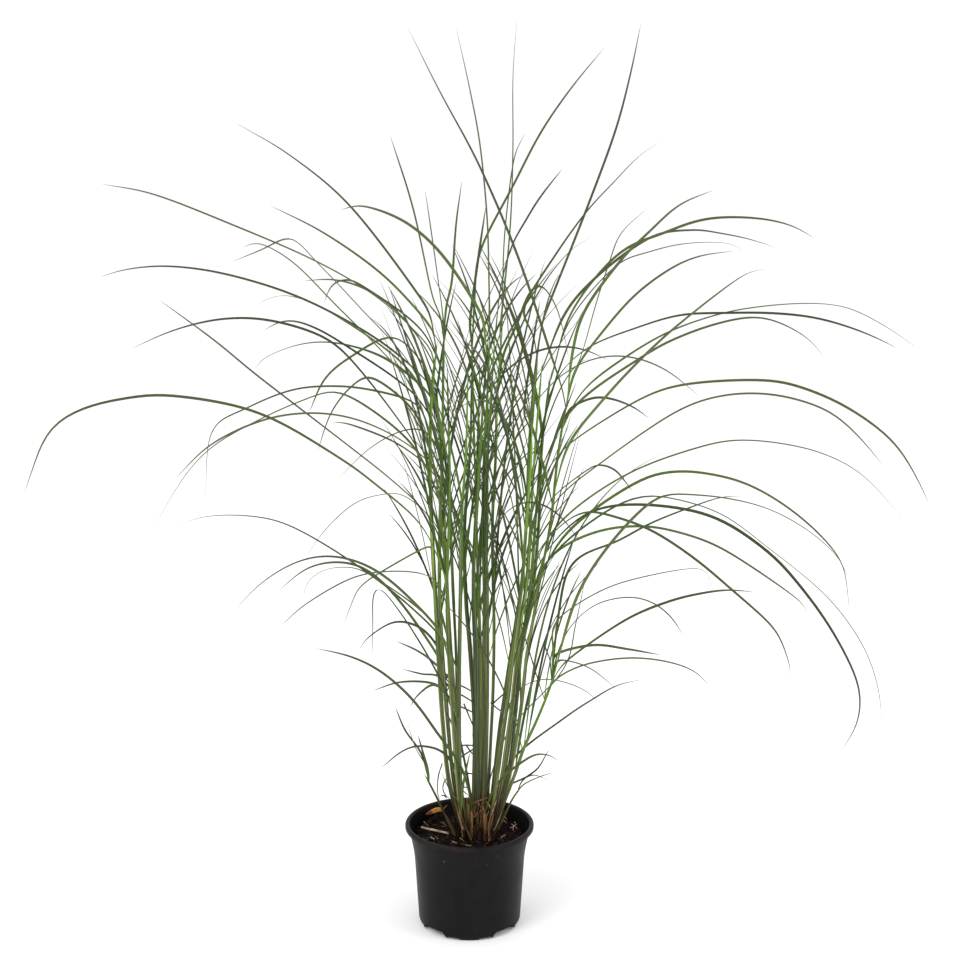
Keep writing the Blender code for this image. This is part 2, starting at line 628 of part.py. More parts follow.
class Shoot:
    """One culm with the blades that grow from it."""

    def __init__(self, soil_tree, name, pixels, foot_radius, tip_radius, lean):
        self.name = name
        self.pixels = pixels
        self.foot_radius = foot_radius
        self.tip_radius = tip_radius
        line = culm_path(pixels, lean, foot_radius, soil_tree)
        self.path = spline(line, max(3, round(path_length(line) / CULM_STEP)))
        self.rows = [row_of(point) for point in self.path]
        self.blades = []
        self.trees = [tree_of(culm_bmesh(self.path, foot_radius, tip_radius))]

    def across_at(self, row):
        """Pixel column of the culm at a pixel row."""
        for lower, upper in zip(self.pixels, self.pixels[1:]):
            if upper[1] <= row <= lower[1]:
                share = (lower[1] - row) / (lower[1] - upper[1])
                return lower[0] + (upper[0] - lower[0]) * share
        return self.pixels[-1][0] if row < self.pixels[-1][1] else self.pixels[0][0]

    def point_at(self, row):
        """Point of the culm's middle line at a pixel row."""
        for index in range(len(self.rows) - 1):
            if self.rows[index + 1] <= row <= self.rows[index]:
                share = (self.rows[index] - row) / (self.rows[index] - self.rows[index + 1])
                return self.path[index].lerp(self.path[index + 1], share)
        return self.path[-1].copy()

    def point_up(self, share):
        """Point at a share of the culm's height."""
        along = share * (len(self.path) - 1)
        place = min(int(along), len(self.path) - 2)
        return self.path[place].lerp(self.path[place + 1], along - place)


def is_clear(bm, shoots, own):
    """True where a blade keeps its gap to every other shoot."""
    tree = tree_of(bm)
    for shoot in shoots:
        if shoot is not own and any(other.overlap(tree) for other in shoot.trees):
            return False
    return True


def lifted_blade(shoot, trace, start_row, depth):
    """A blade seen in the photograph, as points in space from its culm to its tip."""
    start, inner = (shoot.across_at(start_row), start_row), trace[-1]
    rise = (start[0] + RISE_ACROSS * (inner[0] - start[0]), start[1] + RISE_UP * (inner[1] - start[1]))
    pixels = [start, rise] + list(reversed(trace))
    runs = [0.0]
    for first, second in zip(pixels, pixels[1:]):
        runs.append(runs[-1] + math.dist(first, second))
    foot = shoot.point_at(start_row)
    points = [foot]
    for pixel, run in zip(pixels[1:], runs[1:]):
        points.append(at_depth(pixel, foot.y + depth * (run / runs[-1]) ** 1.35))
    return points


def arching_blade(foot, azimuth, length, start_lean, end_lean):
    """A blade that follows the rule of its kind: it leaves steeply and arches over by its own weight."""
    steps = 10
    point = foot.copy()
    points = [foot.copy()]
    for step in range(steps):
        lean = start_lean + (end_lean - start_lean) * ((step + 0.5) / steps) ** 1.4
        run = length / steps
        point = point + Vector((math.sin(lean) * math.cos(azimuth), math.sin(lean) * math.sin(azimuth),
                                math.cos(lean))) * run
        points.append(point.copy())
    return points


def coarse_path(points):
    """A blade's line in a few steps, closer together where it bends."""
    fine = spline(points, FINE_STEPS)
    for _ in range(EASING_ROUNDS):
        eased = [(fine[index - 1] + fine[index] * 2.0 + fine[index + 1]) / 4.0 for index in range(1, FINE_STEPS)]
        fine = [fine[0]] + eased + [fine[-1]]
    bends = [0.0]
    for first, second, third in zip(fine, fine[1:], fine[2:]):
        bends.append((second - first).angle(third - second))
    total = sum(bends)
    steps = max(3, min(MOST_BLADE_STEPS, 2 + round(total / BLADE_TURN_PER_STEP)))
    travelled = [0.0]
    for bend in bends:
        travelled.append(travelled[-1] + 0.5 / len(bends) + 0.5 * bend / max(total, 0.01))
    path = [fine[0]]
    place = 0
    for step in range(1, steps):
        target = travelled[-1] * step / steps
        while travelled[place + 1] < target:
            place += 1
        share = (target - travelled[place]) / (travelled[place + 1] - travelled[place])
        point = fine[place].lerp(fine[place + 1], share)
        if min((point - path[-1]).length, (point - fine[-1]).length) > SHORTEST_STEP:
            path.append(point)
    return path + [fine[-1]]


def add_blade(shoot, points, width, twist):
    path = coarse_path(points)
    shoot.blades.append((path, width, twist))
    shoot.trees.append(tree_of(blade_bmesh(path, width, twist)))


def blade_is_clear(points, width, twist, shoots, own):
    return is_clear(blade_bmesh(coarse_path(points), width, twist, GAP), shoots, own)


def join_slope(trace):
    """Rows that a blade falls for each column on its way from the inner end of its trace to a culm."""
    inner, before = trace[-1], trace[-2]
    lean = math.atan2(abs(inner[0] - before[0]), abs(inner[1] - before[1]))
    return max(LEAST_JOIN_SLOPE, min(MOST_JOIN_SLOPE, 1.5 / math.tan(max(0.1, lean))))


def best_shoots(shoots, trace):
    """Shoots in the order in which a blade that enters the clump at its inner end would reach them."""
    join = trace[-1]
    slope = join_slope(trace)
    heading = trace[-1][0] - trace[-2][0]
    ranked = []
    for shoot in shoots:
        top = shoot.pixels[-1][1] + 6.0
        row = join[1] + JOIN_DROP
        for _ in range(6):
            row = max(top, join[1] + JOIN_DROP + slope * abs(join[0] - shoot.across_at(row)))
        row = min(row, LOWEST_JOIN_ROW)
        across = shoot.across_at(row) - join[0]
        if row > join[1] + 8.0 and len(shoot.blades) < MOST_BLADES:
            cost = abs(across) + CROWDING_COST * len(shoot.blades) + DROP_COST * (row - join[1])
            if across * heading < 0.0:
                cost += WRONG_WAY_COST * abs(across)
            ranked.append((cost, shoot.name, row))
    return sorted(ranked)


def place_traced_blades(shoots, traces, rng):
    """Gives each blade of the photograph a shoot and a direction in depth that keep it clear."""
    by_name = {shoot.name: shoot for shoot in shoots}
    left_out = 0
    for number, trace in enumerate(traces):
        turn = math.radians(rng.uniform(4.0, 62.0)) * (1.0 if number % 2 else -1.0)
        width = BLADE_WIDTH * rng.uniform(0.80, 1.05)
        twist = rng.uniform(-1.2, 1.2)
        nudges = [rng.uniform(-1.0, 1.0) for _ in range(60)]
        placed = False
        for attempt, nudge in enumerate(nudges):
            ranked = best_shoots(shoots, trace)[:4]
            cost, name, row = ranked[(attempt // 8) % len(ranked)]
            shoot = by_name[name]
            foot = shoot.point_at(row)
            side = abs(at_depth(trace[0], foot.y).x - foot.x)
            most = math.sqrt(max(0.02, LONGEST_REACH ** 2 - side ** 2))
            depth = max(-most, min(most, side * math.tan(turn) + math.copysign(0.04, turn)))
            depth += nudge * 0.008 * attempt
            points = lifted_blade(shoot, trace, row + nudge * attempt * 0.4, depth)
            if min(point.z for point in points) > 0.12 and blade_is_clear(points, width, twist, shoots, shoot):
                add_blade(shoot, points, width, twist)
                placed = True
                break
        left_out += not placed
    return left_out


def place_rule_blades(shoots, rng):
    """Blades that come towards the eye or go away behind the clump."""
    left_out = 0
    for number, shoot in enumerate(shoots):
        if len(shoot.pixels) < 7:
            continue
        for index in range(RULE_BLADES_PER_SHOOT):
            base = math.radians(90.0 if (number + index) % 2 else -90.0)
            width = BLADE_WIDTH * rng.uniform(0.75, 1.0)
            twist = rng.uniform(-1.0, 1.0)
            rise = rng.uniform(0.42, 0.95)
            length = rng.uniform(0.40, 0.72)
            end_lean = math.radians(rng.uniform(45.0, 125.0))
            start_lean = math.radians(rng.uniform(5.0, 13.0))
            placed = False
            for attempt in range(60):
                azimuth = base + math.radians(rng.uniform(-42.0, 42.0))
                share = min(0.98, max(0.3, rise + 0.004 * attempt * rng.uniform(-1.0, 1.0)))
                points = arching_blade(shoot.point_up(share), azimuth, length, start_lean, end_lean)
                highest = min(row_of(point) for point in points)
                if points[-1].z < LOWEST_TIP or highest < HIGHEST_ROW:
                    continue
                if blade_is_clear(points, width, twist, shoots, shoot):
                    add_blade(shoot, points, width, twist)
                    placed = True
                    break
            left_out += not placed
    return left_out


def build_shoot(shoot, finish, parent):
    foot = shoot.path[0]
    bm = culm_bmesh(shoot.path, shoot.foot_radius, shoot.tip_radius)
    bmesh.ops.translate(bm, verts=bm.verts, vec=-foot)
    made = add_object(shoot.name, mesh_from_bmesh(shoot.name, bm), finish, parent)
    made.location = foot
    blades = []
    for path, width, twist in shoot.blades:
        blade = bpy.data.objects.new("blade", mesh_from_bmesh("blade", blade_bmesh(path, width, twist)))
        bpy.context.scene.collection.objects.link(blade)
        blades.append(blade)
    fuse(made, blades)
    made.data.materials.clear()
    made.data.materials.append(finish)
    return made


# Small things at the foot of the grass

def build_stub(name, finish, parent, soil_tree):
    """Cut and weathered stump of last year's culm."""
    pixel, height, radius, lean = STUBS[name]
    foot = at_height(pixel, SOIL_TOP)
    foot.z = ground_under(soil_tree, round_points(foot, radius * 1.2)) + GAP
    rings = []
    for share, swell in ((0.0, 1.15), (0.45, 0.95), (1.0, 0.85)):
        middle = Vector((lean[0], lean[1], 1.0)) * height * share
        ring = []
        for side in range(6):
            turn = 2.0 * math.pi * side / 6.0
            ragged = 0.12 * height * math.cos(turn - 0.8) if share == 1.0 else 0.0
            reach = radius * swell
            ring.append(middle + Vector((reach * math.cos(turn), reach * math.sin(turn), ragged)))
        rings.append(ring)
    made = add_object(name, mesh_from_bmesh(name, loft(rings)), finish, parent)
    made.location = foot
    return made


def lying_ends(pixels, reach, soil_tree, height):
    """Two ends of a thing that lies on the soil, level, just clear of it."""
    start, end = [at_height(pixel, SOIL_TOP + height) for pixel in pixels]
    samples = []
    for step in range(7):
        samples += round_points(start.lerp(end, step / 6.0), reach)
    start.z = end.z = ground_under(soil_tree, samples) + GAP
    return start, end


def build_straw(name, pixels, radius, finish, parent, soil_tree):
    """Dry piece of stalk lying on the soil."""
    start, end = lying_ends(pixels, radius, soil_tree, radius)
    across = (end - start).cross(Vector((0, 0, 1))).normalized()
    lift = Vector((0, 0, radius))
    rings = []
    for share, swell in ((0.0, 0.9), (0.5, 1.0), (1.0, 0.7)):
        middle = (end - start) * share + lift
        turns = [2.0 * math.pi * side / 6.0 for side in range(6)]
        rings.append([middle + (across * math.cos(turn) + Vector((0, 0, 1)) * math.sin(turn)) * radius * swell
                      for turn in turns])
    made = add_object(name, mesh_from_bmesh(name, loft(rings)), finish, parent)
    made.location = start
    return made


def build_fallen_leaf(parent, soil_tree):
    """Dead yellow leaf, folded a little along its middle, lying on the soil."""
    start, end = lying_ends(FALLEN_LEAF, LEAF_HALF_WIDTH, soil_tree, MOUND_HEIGHT)
    along = end - start
    across = along.cross(Vector((0, 0, 1))).normalized()
    rings = []
    for share, half in ((0.0, 0.25), (0.2, 0.8), (0.5, 1.0), (0.8, 0.7), (1.0, 0.2)):
        middle = along * share + Vector((0, 0, 0.0005 + 0.0012 * math.sin(math.pi * share)))
        edge = Vector((0, 0, 0.0012))
        rings.append([middle + across * half * LEAF_HALF_WIDTH + edge, middle + Vector((0, 0, 0.0004)),
                      middle - across * half * LEAF_HALF_WIDTH + edge, middle - Vector((0, 0, 0.0005))])
    made = add_object("fallen_leaf", mesh_from_bmesh("fallen_leaf", loft(rings)),
                      material("dead_leaf", (0.45, 0.24, 0.05), 0.6), parent)
    made.location = start
    return made


def basal_shoots(soil_tree):
    """Short young shoots at the edge of the clump."""
    made = []
    for name, (pixels, radius, lean, traces) in BASAL_BLADES.items():
        shoot = Shoot(soil_tree, name, pixels, radius, radius * 0.6, lean)
        made.append((shoot, traces))
    return made


def main():
    clear_scene()
    parent = bpy.data.objects.new("potted_grass", None)
    bpy.context.scene.collection.objects.link(parent)
    build_pot(parent)
    soil = build_soil(parent)
    soil_tree = BVHTree.FromPolygons([vert.co for vert in soil.data.vertices],
                                     [tuple(face.vertices) for face in soil.data.polygons])
    shoots = [Shoot(soil_tree, name, *values) for name, values in CULMS.items()]
    young = basal_shoots(soil_tree)
    everyone = shoots + [shoot for shoot, traces in young]
    for shoot in everyone:
        if not is_clear(culm_bmesh(shoot.path, shoot.foot_radius, shoot.tip_radius, GAP), everyone, shoot):
            print("culm touches a neighbour:", shoot.name)
    rng = random.Random(PLANT_SEED)
    for shoot, traces in young:
        for trace in traces:
            points = lifted_blade(shoot, trace, shoot.pixels[-1][1] + 8.0, -0.02)
            add_blade(shoot, points, BLADE_WIDTH * 0.62, 0.3)
    missing = place_traced_blades(shoots, BLADES_UP + BLADES_LEFT + BLADES_RIGHT, rng)
    missing_rule = place_rule_blades(shoots, rng)
    print("blades", sum(len(shoot.blades) for shoot in everyone), "traced left out", missing,
          "rule left out", missing_rule)
    green = material("grass", (0.10, 0.20, 0.035), 0.45)
    for shoot in everyone:
        build_shoot(shoot, green, parent)
    straw = material("dry_straw", (0.42, 0.30, 0.17), 0.75)
    for name in STUBS:
        build_stub(name, straw, parent, soil_tree)
    build_straw("straw_long", STRAW_LONG, STRAW_LONG_RADIUS, straw, parent, soil_tree)
    build_straw("straw_short", STRAW_SHORT, STRAW_SHORT_RADIUS, straw, parent, soil_tree)
    build_fallen_leaf(parent, soil_tree)


main()
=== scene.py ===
# %% [markdown]
# # A potted ornamental grass
# The real thing is a young clump of narrow-leaved grass, 1.3 m high, in a 19 cm black nursery pot.
# About twenty culms stand close together in dark soil, and each carries long blades that leave it
# steeply and arch over by their own weight.
#
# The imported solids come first, because they settle where everything is. They are coarse: each
# arching blade has only a few flat faces. Everything below is built again in fine form on the same
# lines, so that a blade of the picture lies where its solid lies.

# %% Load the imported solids
import math
import random

import bmesh
import bpy
import numpy as np
from mathutils import Matrix, Vector, noise
from mathutils.bvhtree import BVHTree


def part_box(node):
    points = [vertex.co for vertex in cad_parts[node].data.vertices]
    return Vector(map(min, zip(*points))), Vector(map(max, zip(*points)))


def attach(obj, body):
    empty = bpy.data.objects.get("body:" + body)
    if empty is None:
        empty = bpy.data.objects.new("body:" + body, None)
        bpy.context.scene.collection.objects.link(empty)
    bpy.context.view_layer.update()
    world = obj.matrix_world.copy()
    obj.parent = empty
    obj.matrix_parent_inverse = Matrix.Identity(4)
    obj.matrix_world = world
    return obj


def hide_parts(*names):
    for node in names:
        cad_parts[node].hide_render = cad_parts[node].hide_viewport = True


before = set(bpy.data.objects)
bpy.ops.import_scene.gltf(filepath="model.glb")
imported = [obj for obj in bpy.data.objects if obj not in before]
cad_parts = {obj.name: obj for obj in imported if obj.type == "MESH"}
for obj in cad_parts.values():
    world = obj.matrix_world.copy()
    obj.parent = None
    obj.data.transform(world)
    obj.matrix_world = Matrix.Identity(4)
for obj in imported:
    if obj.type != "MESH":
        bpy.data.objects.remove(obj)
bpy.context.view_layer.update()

print("solids loaded:", len(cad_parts))

# %% [markdown]
# ## Where the camera stands
# A photograph is flat, and a plant is not. If the camera's place and lens are known, each pixel
# becomes a ray, and a depth picks the point on it. The ellipse of the pot's rim gives the height
# that the camera looks down from, and the pot's size gives the distance. The same numbers place the
# blades here and the camera at the end.

# %% The camera's place, and points seen at a pixel
PHOTO_CENTRE = 480.0
FOCAL_PIXELS = 2000.0
EYE = Vector((0.0155, -2.75, 1.351))
EYE_PITCH = math.radians(13.8)
FORWARD = Vector((0.0, math.cos(EYE_PITCH), -math.sin(EYE_PITCH)))
UPWARD = Vector((0.0, math.sin(EYE_PITCH), math.cos(EYE_PITCH)))
RIGHTWARD = Vector((1.0, 0.0, 0.0))


def pixel_ray(pixel):
    """Direction from the eye through one pixel of the photograph."""
    across = (pixel[0] - PHOTO_CENTRE) / FOCAL_PIXELS
    up = (PHOTO_CENTRE - pixel[1]) / FOCAL_PIXELS
    return FORWARD + RIGHTWARD * across + UPWARD * up


def at_depth(pixel, depth):
    """Point seen at a pixel, at world y = depth."""
    ray = pixel_ray(pixel)
    return EYE + ray * ((depth - EYE.y) / ray.y)


def at_height(pixel, height):
    """Point seen at a pixel, at world z = height."""
    ray = pixel_ray(pixel)
    return EYE + ray * ((height - EYE.z) / ray.z)


def row_of(point):
    """Pixel row at which a point shows in the photograph."""
    offset = point - EYE
    return PHOTO_CENTRE - FOCAL_PIXELS * offset.dot(UPWARD) / offset.dot(FORWARD)


def column_of(point):
    """Pixel column at which a point shows in the photograph."""
    offset = point - EYE
    return PHOTO_CENTRE + FOCAL_PIXELS * offset.dot(RIGHTWARD) / offset.dot(FORWARD)


rim_middle = at_height((480.0, 823.0), 0.155)
print("the middle of the picture meets the rim's height at", [round(value, 3) for value in rim_middle])

# %% [markdown]
# ## The lines of the plant
# The culms and blades are drawn as lines over the photograph, a few pixels each: a culm from its foot,
# a blade from its tip to where it enters the clump. Lines are the right start for grass. Its form is
# all in how they lean and bend, and the cross section is the same along most of them. Blender's hair
# could grow such lines by itself, but none would lie where the photograph shows it.

# %% Culms, as lines over the photograph
# Pixels of each culm, foot first, with its radii at foot and tip and how far it leans back (+) or
# forward (-) between foot and tip
CULMS = {
    "shoot_01": (((463, 833), (449.5, 784), (443, 726), (438.5, 654), (435, 590), (431.5, 520), (430, 450),
        (432, 390), (437, 345)), 0.0040, 0.0014, -0.040),
    "shoot_02": (((464.5, 829.5), (454, 784), (448, 726), (442.5, 654), (439.5, 590), (440, 520), (442.5, 450),
        (443, 390), (444, 330)), 0.0033, 0.0012, 0.015),
    "shoot_03": (((464, 826.5), (457.5, 784), (456, 726), (451.5, 654), (447.5, 590), (444.5, 520), (441, 450),
        (437, 400), (433, 375)), 0.0027, 0.0011, 0.060),
    "shoot_04": (((467.5, 835), (460.5, 784), (459, 726), (459.5, 654), (460.5, 590), (461.5, 520), (466, 450),
        (468, 370)), 0.0034, 0.0012, -0.090),
    "shoot_05": (((473, 833), (474, 784), (474.5, 726), (470.5, 654), (466, 600), (464.5, 530), (470, 450),
        (472, 365)), 0.0038, 0.0013, -0.020),
    "shoot_06": (((477, 836), (477.5, 784), (477.5, 726), (477, 654), (475, 610), (474, 560), (478, 490),
        (482, 420), (487, 350)), 0.0034, 0.0012, -0.078),
    "shoot_07": (((480.5, 831.5), (482, 784), (484, 726), (484, 654), (484.5, 590), (483, 520), (484.5, 450),
        (487, 400), (490, 335)), 0.0036, 0.0012, 0.010),
    "shoot_08": (((484, 834.5), (485.5, 784), (487, 726), (487.5, 654), (487.5, 590), (486, 520), (488, 450),
        (491, 400), (495, 335)), 0.0030, 0.0011, -0.045),
    "shoot_09": (((488.5, 830), (493.5, 784), (499, 735), (503.5, 704), (511, 654), (516, 620), (522, 580),
        (526.5, 520), (530, 450), (538, 350)), 0.0036, 0.0012, 0.035),
    "shoot_10": (((489.5, 833.5), (500.5, 784), (507, 740), (512, 704), (517.5, 654), (521, 620), (527, 580),
        (531, 520), (535, 450), (542, 365)), 0.0034, 0.0012, -0.045),
    "shoot_11": (((492.8, 831.2), (505.5, 784), (512, 748), (516.5, 704), (521, 654), (527.5, 620), (534, 580),
        (539, 520), (542, 450), (549, 380)), 0.0030, 0.0011, 0.050),
    "shoot_12": (((494.2, 835.3), (508, 784), (515, 748), (521.5, 704), (527, 654), (533, 620), (540, 580),
        (551, 520), (558, 455), (568, 395)), 0.0028, 0.0010, -0.080),
    "shoot_13": (((492.5, 838.5), (500, 813), (508.5, 791), (516, 771), (524, 748), (536, 722), (546, 698),
        (554, 676)), 0.0026, 0.0012, -0.035),
    "shoot_14": (((468, 825), (459.5, 784), (457.5, 726), (456, 654), (453, 590), (450.5, 520), (449, 440),
        (447, 365)), 0.0028, 0.0011, 0.105),
    "shoot_15": (((475, 825.5), (476, 745), (475, 665), (473, 585), (476, 505), (478, 435), (480, 360)), 0.0030,
        0.0011, 0.088),
    "shoot_16": (((485.5, 828), (488.5, 784), (491, 735), (493, 690), (494, 630), (493, 575), (492.5, 520),
        (496, 450), (497, 400), (502, 335)), 0.0030, 0.0011, 0.070),
    "shoot_17": (((491.5, 828), (502.5, 784), (509, 745), (514, 704), (520, 654), (525.5, 620), (531, 580),
        (536, 515), (541, 450), (551, 375)), 0.0028, 0.0011, 0.120),
    "shoot_18": (((479, 828), (480, 784), (481, 726), (480.5, 654), (478, 585), (476, 505), (474, 435), (472, 350)),
        0.0028, 0.0010, 0.045),
    "shoot_19": (((463.5, 837), (457, 784), (453, 726), (448.5, 654), (447, 590), (449, 520), (450, 470),
        (449, 430)), 0.0026, 0.0011, -0.140),
    "shoot_20": (((486.5, 837), (496.5, 784), (503, 735), (508, 700), (514, 650), (519, 610), (523, 575),
        (527, 520), (531, 465), (532, 425)), 0.0026, 0.0011, -0.135),
}
print("culms drawn:", len(CULMS))

# %% Blades at the top and on the left
# Pixels of each blade, tip first, down to where it enters the clump
BLADES_UP = (
    ((407, 26), (440, 92), (480, 167), (520, 262), (556, 370)),
    ((456, 27), (470, 90), (480, 144), (487, 215)),
    ((517, 18), (513, 76), (513, 147), (510, 230), (500, 330)),
    ((605, 47), (572, 87), (541, 132), (514, 184), (480, 251)),
    ((641, 23), (630, 76), (615, 132), (587, 208), (553, 294)),
    ((660, 142), (639, 156), (612, 184), (587, 211), (556, 254), (523, 309)),
    ((714, 190), (679, 205), (648, 233), (621, 260), (585, 310)),
    ((390, 135), (413, 208), (432, 294)),
    ((563, 168), (541, 196), (526, 220), (511, 248)),
    ((526, 132), (514, 159), (505, 230)),
    ((648, 208), (621, 233), (609, 263), (596, 303), (581, 355)),
    ((569, 361), (564, 334), (556, 306), (541, 285), (529, 294), (517, 324)),
    ((425, 190), (432, 235), (440, 290)),
    ((462, 180), (456, 225), (452, 280)),
    ((486, 205), (478, 260), (470, 320)),
    ((540, 300), (532, 350), (524, 410)),
)
BLADES_LEFT = (
    ((234, 122), (291, 156), (352, 208), (422, 300)),
    ((101, 184), (153, 194), (233, 225), (318, 262), (383, 301), (435, 352)),
    ((98, 278), (122, 270), (168, 266), (230, 275), (306, 300), (383, 343), (435, 389)),
    ((269, 205), (324, 233), (383, 275), (429, 324)),
    ((340, 210), (364, 206), (407, 223), (444, 257), (480, 312)),
    ((242, 248), (259, 243), (294, 263), (337, 306), (383, 352)),
    ((231, 262), (266, 248), (291, 237), (318, 263), (358, 305)),
    ((158, 299), (214, 340), (254, 373), (306, 413), (358, 453), (392, 480)),
    ((129, 350), (171, 331), (220, 319), (269, 320), (324, 337), (355, 364), (398, 419)),
    ((256, 306), (269, 298), (291, 296), (330, 312)),
    ((263, 331), (282, 321), (306, 324), (345, 345)),
    ((254, 370), (266, 357), (300, 344), (337, 343), (383, 357), (422, 386)),
    ((23, 497), (29, 480), (49, 429), (86, 407), (122, 399), (168, 395), (260, 413), (346, 462), (370, 480)),
    ((205, 505), (211, 432), (245, 409), (291, 390), (331, 386), (367, 389), (413, 401)),
    ((150, 535), (180, 482), (211, 447), (260, 419), (306, 399), (343, 393)),
    ((174, 480), (210, 445), (260, 421), (306, 413), (352, 418), (398, 438)),
    ((324, 303), (331, 286), (343, 280), (361, 285)),
    ((309, 413), (324, 380), (349, 358), (392, 337)),
    ((317, 453), (331, 413), (352, 386), (373, 378)),
    ((332, 422), (352, 425), (398, 444)),
    ((337, 480), (367, 450), (398, 432), (422, 430)),
    ((171, 532), (190, 520), (220, 515), (260, 517), (291, 526), (337, 552), (383, 584), (413, 609), (435, 630)),
    ((233, 612), (260, 584), (294, 563), (327, 556), (361, 563), (392, 582), (429, 618)),
    ((277, 592), (306, 569), (337, 562), (367, 570), (398, 599), (435, 651)),
    ((303, 604), (306, 584), (321, 571), (340, 567), (367, 573)),
    ((280, 627), (306, 604), (352, 578), (392, 571), (429, 575)),
    ((373, 661), (373, 627), (380, 587)),
    ((342, 630), (352, 602), (361, 586), (386, 569), (429, 546)),
    ((358, 651), (370, 636), (395, 622), (419, 627)),
    ((396, 641), (416, 650), (432, 661)),
    ((315, 648), (352, 657), (383, 673), (413, 700), (438, 734)),
    ((372, 691), (401, 682), (435, 684)),
    ((409, 708), (419, 694), (435, 685)),
    ((402, 669), (422, 674), (438, 676)),
    ((380, 769), (401, 752), (419, 746), (441, 751)),
    ((303, 569), (312, 547), (334, 520), (358, 501), (383, 494), (404, 495)),
)
print("blades drawn at the top:", len(BLADES_UP), "and on the left:", len(BLADES_LEFT))

# %% Blades on the right, and the young shoots
BLADES_RIGHT = (
    ((815, 239), (798, 228), (771, 220), (734, 217), (700, 220), (664, 233), (618, 254)),
    ((777, 248), (749, 239), (719, 233), (691, 230), (645, 240)),
    ((745, 252), (734, 244), (710, 242), (679, 244), (648, 252), (615, 266)),
    ((734, 251), (700, 256), (670, 269), (633, 297), (596, 340)),
    ((766, 269), (749, 272), (725, 288), (694, 312), (664, 337), (633, 367), (602, 401)),
    ((918, 349), (890, 329), (847, 307), (804, 303), (755, 307), (719, 314), (670, 331), (624, 358)),
    ((899, 349), (863, 332), (817, 318), (771, 313), (725, 313), (679, 315), (633, 329), (590, 346)),
    ((826, 361), (811, 341), (783, 324), (755, 317), (719, 323), (679, 337), (645, 355)),
    ((930, 506), (918, 480), (893, 441), (847, 407), (801, 387), (765, 380), (694, 383), (648, 395), (581, 435)),
    ((884, 467), (863, 441), (832, 413), (792, 398), (752, 393), (710, 398), (670, 415), (602, 462)),
    ((907, 523), (869, 480), (847, 464), (817, 451), (786, 444), (749, 440), (710, 444), (627, 474)),
    ((850, 618), (847, 587), (841, 560), (811, 526), (774, 498), (740, 481), (710, 474), (682, 471), (640, 480)),
    ((650, 419), (633, 407), (612, 399), (593, 398), (572, 407)),
    ((633, 492), (624, 480), (615, 470), (601, 465), (587, 470)),
    ((840, 752), (858, 725), (861, 694), (856, 676), (832, 630), (801, 587), (765, 549), (700, 512), (602, 507)),
    ((882, 726), (879, 691), (866, 651), (841, 612), (811, 581), (765, 545), (725, 515), (680, 500), (630, 498)),
    ((849, 581), (841, 560), (811, 532), (771, 509), (734, 499), (697, 495), (650, 502)),
    ((808, 615), (801, 602), (755, 569), (713, 544), (670, 530), (639, 526), (602, 530), (565, 545)),
    ((788, 684), (792, 673), (786, 654), (774, 628), (731, 589), (694, 558), (651, 530), (612, 516), (581, 512)),
    ((746, 496), (722, 497), (694, 506), (651, 523), (618, 541), (572, 563)),
    ((711, 592), (710, 578), (700, 568), (651, 575), (602, 590), (556, 621)),
    ((684, 636), (670, 616), (651, 602), (627, 597), (596, 604), (572, 624)),
    ((755, 592), (728, 590), (703, 593), (670, 601), (627, 619), (575, 654)),
    ((661, 655), (627, 649), (593, 645), (556, 654)),
    ((711, 688), (694, 671), (664, 661), (627, 658), (587, 664), (560, 676)),
    ((604, 706), (581, 688), (550, 679), (526, 684)),
    ((645, 679), (618, 685), (593, 699), (563, 719)),
    ((586, 575), (575, 627), (563, 670)),
    ((560, 762), (548, 755), (530, 757)),
    ((552, 782), (535, 775), (520, 780)),
    ((602, 560), (590, 572), (566, 600), (545, 640)),
    ((618, 690), (590, 668), (560, 660)),
)
BASAL_BLADES = {  # pixels of the shoot, radius, lean back or forward, and its blades
    "basal_shoot_left": (((455, 835), (438, 800), (425, 775)), 0.0016, -0.020, (((395, 706), (405, 730)),
        ((407, 722), (416, 748)), ((418, 735), (424, 756)))),
    "basal_shoot_front": (((471, 840), (463, 820), (459, 805)), 0.0013, -0.018, (((441, 772), (450, 790)),
        ((470, 752), (464, 780)))),
    "basal_shoot_right": (((497.5, 830), (512, 800), (522, 786)), 0.0014, 0.010, (((549, 749), (538, 768)),
        ((556, 772), (541, 776)))),
}
print("on the right:", len(BLADES_RIGHT), "and young shoots:", len(BASAL_BLADES))

# %% [markdown]
# ## Smooth lines through a few points
# A culm or blade is drawn with ten points at most. A Catmull-Rom curve passes through each of them and
# bends smoothly between, as a real blade does. A Bezier curve could do so too, but it needs handles as
# well. It is then cut into steps of equal length, so that rings laid along it are evenly spaced.

# %% A smooth curve, evenly spaced
CURVE_STEPS = 12


def spline(points, count):
    """Evenly spaced points on a Catmull-Rom curve through the given ones."""
    knots = [points[0] * 2.0 - points[1]] + list(points) + [points[-1] * 2.0 - points[-2]]
    fine = []
    for index in range(1, len(knots) - 2):
        before, start, end, after = knots[index - 1:index + 3]
        for step in range(CURVE_STEPS):
            t = step / CURVE_STEPS
            fine.append(0.5 * (2.0 * start + (end - before) * t
                               + (2.0 * before - 5.0 * start + 4.0 * end - after) * t * t
                               + (3.0 * start - before - 3.0 * end + after) * t * t * t))
    fine.append(points[-1].copy())
    lengths = [0.0]
    for first, second in zip(fine, fine[1:]):
        lengths.append(lengths[-1] + (second - first).length)
    result = []
    place = 0
    for step in range(count + 1):
        target = lengths[-1] * step / count
        while place < len(lengths) - 2 and lengths[place + 1] < target:
            place += 1
        share = (target - lengths[place]) / max(1e-9, lengths[place + 1] - lengths[place])
        result.append(fine[place].lerp(fine[place + 1], share))
    return result


